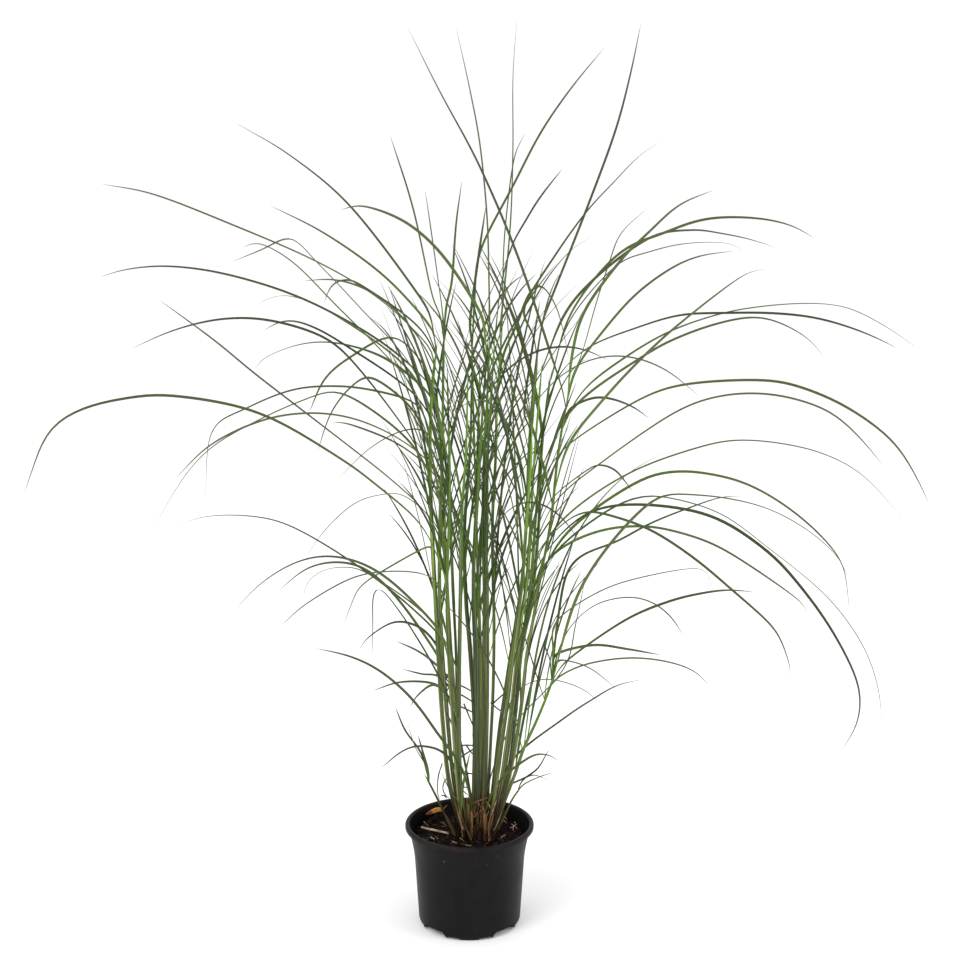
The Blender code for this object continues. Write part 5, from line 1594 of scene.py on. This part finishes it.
# %% The section of the pot
RIM_RADIUS = 0.0950
LIP_DROP = 0.0068
MOUTH_RADIUS = 0.0884
COLLAR_TOP_RADIUS = 0.0894
COLLAR_FOOT_RADIUS = 0.0821
COLLAR_FOOT_HEIGHT = 0.1120
BODY_TOP_RADIUS = 0.0816
BODY_FOOT_RADIUS = 0.0754
EDGE_RADIUS = 0.0050
WALL = 0.0015
FOOT_HEIGHT = 0.0020
POT_COLUMNS = 160
CORNER_STEPS = 4
FLOOR_TOP = FOOT_HEIGHT + WALL
NECK = RIM_HEIGHT - LIP_DROP
POT_PROFILE = [  # radius, height and rounding, from the inside of the floor round the lip to the underside
    (0.0, FLOOR_TOP, 0.0),
    (BODY_FOOT_RADIUS - EDGE_RADIUS, FLOOR_TOP, 0.0020),
    (BODY_FOOT_RADIUS - WALL, FLOOR_TOP + EDGE_RADIUS, 0.0020),
    (BODY_TOP_RADIUS - WALL, COLLAR_FOOT_HEIGHT - 0.0015, 0.0012),
    (COLLAR_FOOT_RADIUS - WALL, COLLAR_FOOT_HEIGHT + 0.0006, 0.0012),
    (COLLAR_TOP_RADIUS - WALL, NECK, 0.0030),
    (MOUTH_RADIUS, RIM_HEIGHT - 0.0014, 0.0008),
    (MOUTH_RADIUS + 0.0018, RIM_HEIGHT, 0.0009),
    (RIM_RADIUS - 0.0018, RIM_HEIGHT, 0.0009),
    (RIM_RADIUS, RIM_HEIGHT - 0.0018, 0.0009),
    (RIM_RADIUS, NECK, 0.0005),
    (RIM_RADIUS - WALL, NECK, 0.0005),
    (RIM_RADIUS - WALL, RIM_HEIGHT - 0.0028, 0.0004),
    (MOUTH_RADIUS + 0.0016, RIM_HEIGHT - 0.0030, 0.0008),
    (COLLAR_TOP_RADIUS, NECK - 0.0010, 0.0020),
    ((COLLAR_FOOT_RADIUS + BODY_TOP_RADIUS) / 2.0, COLLAR_FOOT_HEIGHT - 0.0012, 0.0140),
    (BODY_FOOT_RADIUS, FOOT_HEIGHT + EDGE_RADIUS, 0.0020),
    (BODY_FOOT_RADIUS - EDGE_RADIUS * 0.3, FOOT_HEIGHT + EDGE_RADIUS * 0.3, 0.0016),
    (BODY_FOOT_RADIUS - EDGE_RADIUS, FOOT_HEIGHT, 0.0016),
    (0.0, FOOT_HEIGHT, 0.0),
]


def rounded(profile):
    """The same section with each corner turned into a short arc."""
    result = []
    for index, (radius, height, rounding) in enumerate(profile):
        corner = Vector((radius, height))
        if rounding == 0.0:
            result.append(corner)
            continue
        before = Vector(profile[index - 1][:2]) - corner
        after = Vector(profile[index + 1][:2]) - corner
        cut = min(rounding, before.length * 0.45, after.length * 0.45)
        first = corner + before.normalized() * cut
        last = corner + after.normalized() * cut
        for step in range(CORNER_STEPS + 1):
            share = step / CORNER_STEPS
            result.append(first.lerp(corner, share).lerp(corner.lerp(last, share), share))
    return result


def mesh_of(bm, name):
    """Turns the faces outwards and keeps the form as a mesh."""
    bmesh.ops.recalc_face_normals(bm, faces=bm.faces)
    made = bpy.data.meshes.new(name)
    bm.to_mesh(made)
    bm.free()
    return made


def turned(name, section, columns):
    """A section turned all the way round the pot's axis."""
    bm = bmesh.new()
    profile = [bm.verts.new((point[0], 0.0, point[1])) for point in section]
    edges = [bm.edges.new(pair) for pair in zip(profile, profile[1:])]
    bmesh.ops.spin(bm, geom=profile + edges, cent=(0, 0, 0), axis=(0, 0, 1), dvec=(0, 0, 0),
                   angle=math.tau, steps=columns, use_merge=True)
    bmesh.ops.remove_doubles(bm, verts=bm.verts, dist=0.00001)
    return mesh_of(bm, name)


pot_section = rounded(POT_PROFILE)
pot_mesh = turned("nursery_pot", pot_section, POT_COLUMNS)
print("pot section has", len(pot_section), "points, the turned wall", len(pot_mesh.polygons), "faces")

# %% [markdown]
# ### Feet and drain recesses
# The photograph shows the bottom edge lifted in places. There the edge steps back and up to a small
# slot, so that water can run out even on a flat floor. Blocks are joined for the feet and the walls of
# the recesses, and then others are cut away, which is how a mould would be made as well.

# %% Feet, recesses and slots
NOTCH_COUNT = 4
NOTCH_START = math.radians(-45.0)
NOTCH_HEIGHT = 0.0100
SLOT_SIZE = (0.0060, 0.0130, 0.0036)
SLOT_HEIGHT = 0.0065
CENTRE_PAD_RADIUS = 0.0180
FLOOR_MIDDLE = FOOT_HEIGHT + WALL * 0.5
# Blocks: inner and outer radius, low and high z, half angles at their foot and top in degrees
EDGE_FOOT = (0.0652, 0.0710, 0.0, FLOOR_MIDDLE, 12.0, 12.0)
RECESS_WALL = (0.0605, 0.0749, FLOOR_MIDDLE, NOTCH_HEIGHT + WALL, 20.0, 15.5)
RECESS = (0.0620, 0.0800, -0.0010, NOTCH_HEIGHT, 19.5, 13.5)
ARC_STEPS = 16
PAD_SIDES = 48


def block(name, rings):
    """Closed block between rings of points."""
    return add_object(name, mesh_of(loft(rings), name))


def sector(name, turn, shape):
    """Block between two radii and two heights round the pot's axis."""
    inner, outer, low, high, low_half, high_half = shape
    rings = []
    for height, half in ((low, low_half), (high, high_half)):
        arc = [turn + math.radians(half) * (2.0 * step / ARC_STEPS - 1.0) for step in range(ARC_STEPS + 1)]
        ring = [(outer * math.cos(angle), outer * math.sin(angle), height) for angle in arc]
        ring += [(inner * math.cos(angle), inner * math.sin(angle), height) for angle in reversed(arc)]
        rings.append(ring)
    return block(name, rings)


def drain_slot(turn):
    """Cutter for the opening in a recess."""
    deep, wide, tall = SLOT_SIZE
    outward = level_way(turn)
    sideways = Vector((-outward.y, outward.x, 0.0))
    rings = []
    for height in (SLOT_HEIGHT - tall / 2.0, SLOT_HEIGHT + tall / 2.0):
        middle = outward * RECESS[0] + Vector((0.0, 0.0, height))
        rings.append([middle + outward * deep / 2.0 * a + sideways * wide / 2.0 * b
                      for a, b in ((1, -1), (1, 1), (-1, 1), (-1, -1))])
    return block("drain_slot", rings)


def fuse(base, others, operation):
    """Joins other objects to the base, or cuts them out of it, and removes them."""
    group = bpy.data.collections.new("operands")
    bpy.context.scene.collection.children.link(group)
    for other in others:
        bpy.context.scene.collection.objects.unlink(other)
        group.objects.link(other)
    join = base.modifiers.new("join", "BOOLEAN")
    join.operation = operation
    join.solver = "EXACT"
    join.operand_type = "COLLECTION"
    join.collection = group
    bpy.context.view_layer.update()
    shaped = base.evaluated_get(bpy.context.evaluated_depsgraph_get())
    base.data = bpy.data.meshes.new_from_object(shaped)
    base.modifiers.clear()
    for other in others:
        bpy.data.objects.remove(other, do_unlink=True)
    bpy.data.collections.remove(group)


pot = add_object("nursery_pot", pot_mesh)
recess_turns = [NOTCH_START + index * math.tau / NOTCH_COUNT for index in range(NOTCH_COUNT)]
pad_ring = [(CENTRE_PAD_RADIUS * math.cos(turn), CENTRE_PAD_RADIUS * math.sin(turn)) for turn in all_round(PAD_SIDES)]
feet = [block("centre_pad", [[(x, y, height) for x, y in pad_ring] for height in (0.0, FLOOR_MIDDLE)])]
feet += [sector("edge_foot", index * math.pi / 2.0, EDGE_FOOT) for index in range(4)]
feet += [sector("recess_wall", turn, RECESS_WALL) for turn in recess_turns]
fuse(pot, feet, "UNION")
fuse(pot, [sector("recess", turn, RECESS) for turn in recess_turns] + [drain_slot(turn) for turn in recess_turns],
     "DIFFERENCE")
pot.data.materials.clear()
pot.data.materials.append(PLASTIC)
pot.data.shade_smooth()
pot.data.set_sharp_from_angle(angle=math.radians(35.0))
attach(pot, "root")
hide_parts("pot")
print("pot has", len(pot.data.polygons), "faces and stands on z =", round(min(v.co.z for v in pot.data.vertices), 5))

# %% [markdown]
# ## The soil
# The top of the root ball is crumbly. One surface carries the broad hummocks and the finer lumps as
# true relief, and separate crumbs, chips of bark and thin roots lie on it. All of them are seated a
# little way in, because nothing on soil stands on a point.

# %% The soil's surface
SOIL_FLAT_RADIUS = 0.0640
SOIL_BUMP = 0.0018
SOIL_EDGE_DROP = 0.0030
MOUND_CENTRE = (-0.0520, 0.0600)
MOUND_SPREAD = 0.0160
SOIL_EDGE_RADIUS = 0.0834
SOIL_COLUMNS = 220
SOIL_RINGS = 84
SOIL_WELD = 0.000002


def smooth_step(low, high, value):
    """Rises from 0 to 1 between two values, without a corner."""
    share = min(1.0, max(0.0, (value - low) / (high - low)))
    return share * share * (3.0 - 2.0 * share)


def soil_height(x, y):
    """Height of the soil's surface: the solid's hummocks, and finer lumps on them."""
    radius = math.hypot(x, y)
    strength = smooth_step(SOIL_FLAT_RADIUS - 0.001, SOIL_FLAT_RADIUS + 0.006, radius)
    wave = math.sin(x * 210.0 + 1.3) * math.cos(y * 170.0 - 0.4) + 0.6 * math.sin(x * 90.0 - y * 130.0)
    away = math.dist((x, y), MOUND_CENTRE) / MOUND_SPREAD
    height = SOIL_TOP + SOIL_BUMP * strength * wave + MOUND_HEIGHT * math.exp(-away * away)
    height -= SOIL_EDGE_DROP * smooth_step(0.0760, SOIL_EDGE_RADIUS, radius)
    lumps = noise.fractal(Vector((x * 160.0, y * 160.0, 0.7)), 0.9, 2.1, 4)
    crumbs = noise.noise(Vector((x * 900.0, y * 900.0, 5.1)))
    return height + 0.0013 * lumps + 0.0005 * crumbs


soil_rows = [(SOIL_EDGE_RADIUS * ring / SOIL_RINGS, None) for ring in range(SOIL_RINGS + 1)]
soil_rows += [(COLLAR_FOOT_RADIUS - WALL - GAP * 3.0, COLLAR_FOOT_HEIGHT + 0.0050),
              (BODY_TOP_RADIUS - WALL - 0.0012, COLLAR_FOOT_HEIGHT - 0.0030),
              (BODY_FOOT_RADIUS - WALL - 0.0016, 0.0148), (BODY_FOOT_RADIUS - WALL - 0.0030, 0.0118),
              (0.0593, 0.0118), (0.0593, 0.0038), (0.0, 0.0038)]
soil_points = []
soil_faces = []
for radius, height in soil_rows:
    for column in range(SOIL_COLUMNS):
        turn = math.tau * column / SOIL_COLUMNS
        x, y = radius * math.cos(turn), radius * math.sin(turn)
        soil_points.append((x, y, soil_height(x, y) if height is None else height))
for ring in range(len(soil_rows) - 1):
    for column in range(SOIL_COLUMNS):
        following = (column + 1) % SOIL_COLUMNS
        soil_faces.append((ring * SOIL_COLUMNS + column, ring * SOIL_COLUMNS + following,
                           (ring + 1) * SOIL_COLUMNS + following, (ring + 1) * SOIL_COLUMNS + column))
soil_mesh = bpy.data.meshes.new("root_ball")
soil_mesh.from_pydata(soil_points, [], soil_faces)
turn_faces_out(soil_mesh, SOIL_WELD)
soil_mesh.shade_smooth()
place_piece("root_ball", soil_mesh, SOIL, ["soil"])
print("soil has", len(soil_mesh.polygons), "faces, highest at", round(max(v.co.z for v in soil_mesh.vertices), 4))

# %% [markdown]
# ### Crumbs, bark and roots
# Crumbs are small balls pushed out of shape by noise. Bark chips are flat prisms with ragged corners.
# Roots and fibres are thin bent tubes. A seed fixes where each one lies, so the soil is the same every
# time the script runs. Particles could scatter them as well, but only real mesh stays in the exported
# model.

# %% Crumbs on the soil
LITTER_SEED = 5
LITTER_RADIUS = 0.0815
CRUMB_COUNT = 620


def litter_spot(rng, reach=LITTER_RADIUS):
    """A point of the soil's surface, picked evenly over it."""
    radius = reach * math.sqrt(rng.random())
    turn = rng.uniform(0.0, math.tau)
    x, y = radius * math.cos(turn), radius * math.sin(turn)
    return Vector((x, y, soil_height(x, y)))


def ball_corners():
    """Corners and faces of a ball of radius 1."""
    bm = bmesh.new()
    bmesh.ops.create_icosphere(bm, subdivisions=2, radius=1.0)
    corners = [vert.co.copy() for vert in bm.verts]
    faces = [tuple(vert.index for vert in face.verts) for face in bm.faces]
    bm.free()
    return corners, faces


BALL, BALL_FACES = ball_corners()
litter_rng = random.Random(LITTER_SEED)
points, faces = [], []
for index in range(CRUMB_COUNT):
    spot = litter_spot(litter_rng)
    size = 0.0005 + 0.0019 * litter_rng.random() ** 2.6
    squash = Vector((litter_rng.uniform(0.8, 1.3), litter_rng.uniform(0.8, 1.3), litter_rng.uniform(0.55, 0.9)))
    turn = Matrix.Rotation(litter_rng.uniform(0.0, 6.28), 3, "Z")
    first = len(points)
    for corner in BALL:
        push = 1.0 + 0.34 * noise.noise(corner * 1.7 + Vector((index * 3.1, 0.0, 0.0)))
        shaped = turn @ Vector((corner.x * squash.x, corner.y * squash.y, corner.z * squash.z)) * size * push
        points.append(tuple(spot + shaped + Vector((0.0, 0.0, size * 0.18))))
    faces += [tuple(first + place for place in face) for face in BALL_FACES]
crumb_mesh = bpy.data.meshes.new("crumbs")
crumb_mesh.from_pydata(points, [], faces)
crumb_mesh.shade_smooth()
place_piece("soil_crumbs", crumb_mesh, SOIL)
print("crumbs:", CRUMB_COUNT, "with", len(faces), "faces")

# %% Chips of bark, roots and fibres
CHIP_COUNT = 230
CHIP_STEPS = 4
FIBRE_COUNT = 60
FIBRE_SPREAD = 0.074
FIBRE_STEP = 0.0022

bundle = Bundle()
for index in range(CHIP_COUNT):
    spot = litter_spot(litter_rng)
    long = litter_rng.uniform(0.0018, 0.0062)
    wide = long * litter_rng.uniform(0.22, 0.5)
    turn = litter_rng.uniform(0.0, math.tau)
    tilt = litter_rng.uniform(-0.35, 0.35)
    direction = Vector((math.cos(turn), math.sin(turn), tilt)).normalized()
    width_way = direction.cross(Vector((0, 0, 1))).normalized()
    deep = Vector((0, 0, wide * 0.22))
    rings = []
    for step in range(CHIP_STEPS + 1):
        share = step / CHIP_STEPS
        middle = spot + direction * long * (share - 0.5) + Vector((0, 0, 0.0002))
        half = wide * (0.55 + 0.45 * math.sin(math.pi * min(1.0, share + 0.15))) * litter_rng.uniform(0.8, 1.1) / 2.0
        rings.append([tuple(middle + width_way * half), tuple(middle + deep),
                      tuple(middle - width_way * half), tuple(middle - deep)])
    rings = np.array(rings)
    bundle.add(rings, np.linspace(0, 1, len(rings)), rings, dry=1.0, tone=litter_rng.random(), leafy=0.0)
place_piece("bark_chips", bundle.mesh("bark_chips"), BARK)


def add_thread(bundle, line, steps, radius, tone, sides=6, part=(0.0, 1.0), dry=1.0, leafy=0.0):
    """Adds a thin round thread along a line; part is the stretch of a blade that its colours come from."""
    line = spline(line, steps)
    points, side, up = line_frame(line, np.array((0.31, 0.17, 0.93)), np.zeros(len(line)))
    radii = radius * np.interp(np.linspace(0, 1, len(line)), (0.0, 0.8, 1.0), (1.0, 0.8, 0.35))[:, None]
    rings = round_rings(points, side, up, radii, all_round(sides))
    bundle.add(rings, np.linspace(part[0], part[1], len(line)), rings, dry=dry, tone=tone, leafy=leafy)


bundle = Bundle()
for index in range(FIBRE_COUNT):
    spot = litter_spot(litter_rng, FIBRE_SPREAD)
    turn = litter_rng.uniform(0.0, math.tau)
    line = []
    for step in range(6):
        x, y = spot.x + FIBRE_STEP * step * math.cos(turn), spot.y + FIBRE_STEP * step * math.sin(turn)
        line.append(Vector((x, y, soil_height(x, y) + 0.0004)))
        turn += litter_rng.uniform(-0.7, 0.7)
    add_thread(bundle, line, 12, litter_rng.uniform(0.00018, 0.00042), litter_rng.random())
place_piece("root_fibres", bundle.mesh("root_fibres"), THREAD)
print("chips:", CHIP_COUNT, "fibres:", FIBRE_COUNT)

# %% [markdown]
# ### Bits that the photograph shows
# A few bits are large enough to be told apart in the photograph: forked pieces of tan stalk on the
# left, a pale twig crossing another behind the clump, a pale crumb on the right. Each is a short bent
# stick, laid through the points where the rays of two or three pixels meet the soil. Random litter
# would do for the rest, but not where a bit can be told apart.

# %% Sticks on the soil
STICK_REACH = 0.0770
STICKS = (  # finish, pixels along the stick, radius
    (STUB, ((440.3, 819), (443.4, 823), (446, 826.5)), 0.0008), (STUB, ((443.4, 823), (447.4, 820.5)), 0.0006),
    (STUB, ((441.5, 826), (445, 826.8), (449, 826)), 0.0007),
    (GREY_BITS, ((431, 838), (435, 840), (438, 839)), 0.0014), (GREY_BITS, ((433, 836.5), (437, 837.5)), 0.0009),
    (PALE_BITS, ((499, 819.5), (503, 816), (507, 812.5)), 0.0006),
    (PALE_BITS, ((500, 813.5), (504, 816.5), (507, 820)), 0.0006),
    (PALE_BITS, ((511, 823.5), (514, 827), (517.5, 829)), 0.0006),
    (PALE_BITS, ((510.5, 828.5), (514, 827), (517, 824)), 0.0005), (PALE_BITS, ((513.5, 826), (513, 830.5)), 0.0008),
    (PALE_BITS, ((514.5, 822.5), (515.5, 823.5)), 0.0006),
    (OLD_STALK, ((466, 845.5), (469, 846.5), (472, 846)), 0.0012), (HUSK, ((485.5, 844.5), (489, 843.5)), 0.0010),
    (STRAW, ((452, 841), (457, 843.5)), 0.0007), (HUSK, ((460, 838), (464, 841)), 0.0009),
    (STRAW, ((501, 838), (506, 835)), 0.0008), (HUSK, ((424, 822), (428, 825)), 0.0009))


def on_soil(pixel):
    """Point seen at a pixel on the hummocky soil, or else just inside the back of the pot's wall."""
    height = SOIL_TOP
    for _ in range(6):
        spot = at_height(pixel, height)
        height = soil_height(spot.x, spot.y)
    if math.hypot(spot.x, spot.y) > STICK_REACH:
        return at_depth(pixel, math.sqrt(STICK_REACH ** 2 - spot.x ** 2))
    return Vector((spot.x, spot.y, height))


def lay_threads(prefix, table, place, raised, steps, least_tone):
    """Lays threads through pixels, raised by a share of their radius, one piece for each finish."""
    lying = {}
    for finish, pixels, radius in table:
        bundle = lying.setdefault(finish.name, (finish, Bundle()))[1]
        line = [place(pixel) + Vector((0.0, 0.0, radius * raised)) for pixel in pixels]
        add_thread(bundle, line, steps, radius, litter_rng.uniform(least_tone, 1.0), sides=8)
    for name, (finish, bundle) in lying.items():
        place_piece(prefix + name, bundle.mesh(prefix + name), finish)
    print(prefix.rstrip("_") + ":", len(table), "in", len(lying), "finishes")


lay_threads("sticks_", STICKS, on_soil, 0.8, 14, 0.0)

# %% [markdown]
# ## Threads and bits between the culms
# The split, dried edges of old sheaths curl beside the lower culms as thin grey threads, and a few
# short bits of blade bridge from one culm to the next. Each is drawn through a few pixels. The depth
# at each end is that of the culm nearest to it, so that both ends stay where they grew.

# %% Threads and bits
CURLS = (
    ((442.2, 763.5), (438.8, 774), (437.4, 785), (437.9, 794), (440, 800)),
    ((446.5, 778.5), (443.6, 783.5), (443, 789.5), (445.5, 795), (449.5, 798.5)),
    ((464, 780), (467.7, 781.2), (468.8, 784.7), (467, 787.4), (463.4, 787), (462.4, 789.8), (465.6, 793),
     (470, 796.5)),
    ((441.5, 796), (444, 795.5), (447, 798.5)), ((450, 671), (446.5, 678), (449.5, 685), (447, 692), (450.5, 700)))
BRIDGES = (
    ((459, 745.8), (467, 745.2), (475, 745.6)), ((459, 758.5), (467.4, 752.7), (476, 747.5)),
    ((460, 773), (467, 773.2), (475, 774.2)), ((457, 684), (465, 687.6), (474, 692.5)),
    ((458, 693), (466, 697.6), (475, 703.5)), ((459, 706), (466, 709), (474, 713)),
    ((492, 704.5), (499, 698), (507, 691)), ((491, 703), (498, 709), (505, 713.5)),
    ((447, 699), (453, 703.5), (459, 704)), ((464, 704), (469, 716), (474, 728)),
    ((447, 714), (451, 722), (455, 733)), ((466, 745), (471, 752), (476, 757)))
CURL_RADIUS = 0.00105
BRIDGE_RADIUS = 0.00135
LOWER_SPOTS = 70
fine_culms = [spline(shoot.line, CULM_RINGS) for shoot in shoots]


def culm_depth(pixel):
    """Depth of the culm that stands nearest to a pixel."""
    nearest, depth = 1e9, 0.0
    for line in fine_culms:
        for spot in line[:LOWER_SPOTS]:
            distance = math.hypot(column_of(spot) - pixel[0], row_of(spot) - pixel[1])
            if distance < nearest:
                nearest, depth = distance, spot.y
    return depth


for name, table, radius, finish, slot in (("curled_threads", CURLS, CURL_RADIUS, THREAD, "dry_straw"),
                                          ("bridging_bits", BRIDGES, BRIDGE_RADIUS, GRASS, "green_grass")):
    bundle = Bundle()
    for pixels in table:
        first, last = culm_depth(pixels[0]), culm_depth(pixels[-1])
        line = [at_depth(pixel, first + (last - first) * index / (len(pixels) - 1.0))
                for index, pixel in enumerate(pixels)]
        add_thread(bundle, line, 40, radius, litter_rng.random(), part=(0.4, 0.9), dry=0.3, leafy=1.0)
    place_piece(name, bundle.mesh(name), finish)
    print(name, "are", len(table))

# %% [markdown]
# ### Shreds across the culms
# Strips of the oldest sheaths have come loose and lie across the fronts of the lower culms. They are tan,
# and their tone is kept to the pale end as a painted highlight where they catch the light. Each is drawn
# through a few pixels too, but its depth is that of the foremost culm behind each pixel, so that the strip
# lies on the culms that it crosses.

# %% Shreds
SHREDS = (  # finish, pixels along the shred, radius
    (HUSK, ((472.3, 804), (477, 801.5), (482, 799.5), (488, 797.5)), 0.0008),
    (HUSK, ((472.8, 818.5), (475.5, 816), (477.5, 812.5)), 0.0009),
    (HUSK, ((486.5, 802), (489, 805), (490.6, 808.5)), 0.0010),
    (STRAW, ((483, 807), (484.6, 811), (483.5, 815)), 0.0007),
    (STRAW, ((489.5, 821), (492.5, 812), (496.5, 800)), 0.0009),
    (STUB, ((470.5, 826), (476, 833), (482.5, 837.5)), 0.0012),
    (HUSK, ((475.2, 806), (474.4, 811), (475.6, 816)), 0.0009),
    (STUB, ((480.5, 819), (484.5, 823), (489.5, 823.5)), 0.0009),
    (HUSK, ((484, 819), (487, 815.5), (488.8, 811)), 0.0008), (HUSK, ((478, 803), (481, 808), (479.6, 813)), 0.0007),
    (GREY_BITS, ((489, 836), (494.5, 829), (499, 819), (502, 812)), 0.0009),
    (STRAW, ((463, 829), (460, 821), (457.6, 812)), 0.0008),
    (HUSK, ((464.5, 831), (462.6, 826), (460.6, 820)), 0.0009))
SHRED_LIFT = 0.0034
FOOT_SPOTS = 40
PIXELS_BESIDE = 5.0


def front_of_culms(pixel):
    """Point seen at a pixel, just in front of the foremost culm behind it."""
    behind = [spot.y for line in fine_culms for spot in line[:FOOT_SPOTS]
              if math.hypot(column_of(spot) - pixel[0], row_of(spot) - pixel[1]) < PIXELS_BESIDE]
    return at_depth(pixel, min(behind, default=culm_depth(pixel)) - SHRED_LIFT)


# Tones from 0.6 up keep the shreds pale: a painted highlight over their own tan
lay_threads("shreds_", SHREDS, front_of_culms, 0.0, 20, 0.6)

# %% [markdown]
# ## Floor, light and camera
# A plain pale floor runs out of sight on all sides, so the plant stands in white as in a studio. The
# light is broad: a white sky, one large soft lamp from the upper left, and a weaker one from the right
# that draws the sheen down the side of the pot. A picture of a studio could light it too, but lamps
# are easier to aim.

# %% Floor
FLOOR_REACH = 400.0
floor_mesh = bpy.data.meshes.new("studio_floor")
floor_mesh.from_pydata([(-FLOOR_REACH, -FLOOR_REACH, 0.0), (FLOOR_REACH, -FLOOR_REACH, 0.0),
                        (FLOOR_REACH, FLOOR_REACH, 0.0), (-FLOOR_REACH, FLOOR_REACH, 0.0)], [], [(0, 1, 2, 3)])
floor = add_object("studio_floor", floor_mesh)
floor_finish, floor_tree, floor_shader = new_finish("pale_floor", 0.9, 0.1)
floor_tones = grade(floor_tree, speckle(floor_tree, place_in_object(floor_tree), 3.0),
                    [(0.3, grey(0.925)), (0.7, grey(0.935))])
floor_tree.links.new(floor_tones, floor_shader.inputs["Base Color"])
floor_mesh.materials.append(floor_finish)
print("the floor is", 2.0 * FLOOR_REACH, "m wide")

# %% Light
LAMPS = (  # name, place, the point that it looks at, width, power
    ("key_light", (-2.6, -2.8, 3.6), (0.0, 0.0, 0.6), 2.4, 90.0),
    ("side_light", (3.2, -1.2, 2.2), (0.0, 0.0, 0.4), 2.0, 35.0))
SKY_STRENGTH = 1.10


def soft_lamp(name, place, aim, size, power):
    """A round area lamp that looks at a point."""
    lamp = bpy.data.lights.new(name, "AREA")
    lamp.shape = "DISK"
    lamp.size = size
    lamp.energy = power
    made = add_object(name, lamp)
    made.location = place
    made.rotation_euler = (Vector(aim) - Vector(place)).to_track_quat("-Z", "Y").to_euler()


for lamp_values in LAMPS:
    soft_lamp(*lamp_values)
sky = bpy.data.worlds.new("studio_white")
bpy.context.scene.world = sky
bpy.context.scene.view_settings.view_transform = "Standard"
sky.use_nodes = True
sky.node_tree.nodes["Background"].inputs["Color"].default_value = (1.0, 1.0, 1.0, 1.0)
sky.node_tree.nodes["Background"].inputs["Strength"].default_value = SKY_STRENGTH
print("lamps:", len(LAMPS), "and a white sky of strength", SKY_STRENGTH)

# %% Camera
SENSOR_WIDTH = 36.0
FARTHEST_SEEN = 1000.0

camera = add_object("photo_camera", bpy.data.cameras.new("photo_camera"))
camera.location = EYE
camera.rotation_euler = (math.pi / 2.0 - EYE_PITCH, 0.0, 0.0)
camera.data.sensor_width = SENSOR_WIDTH
camera.data.lens = SENSOR_WIDTH * FOCAL_PIXELS / (2.0 * PHOTO_CENTRE)
camera.data.clip_end = FARTHEST_SEEN
bpy.context.scene.camera = camera
print("camera lens", camera.data.lens, "mm, looking down by", round(math.degrees(EYE_PITCH), 1), "degrees")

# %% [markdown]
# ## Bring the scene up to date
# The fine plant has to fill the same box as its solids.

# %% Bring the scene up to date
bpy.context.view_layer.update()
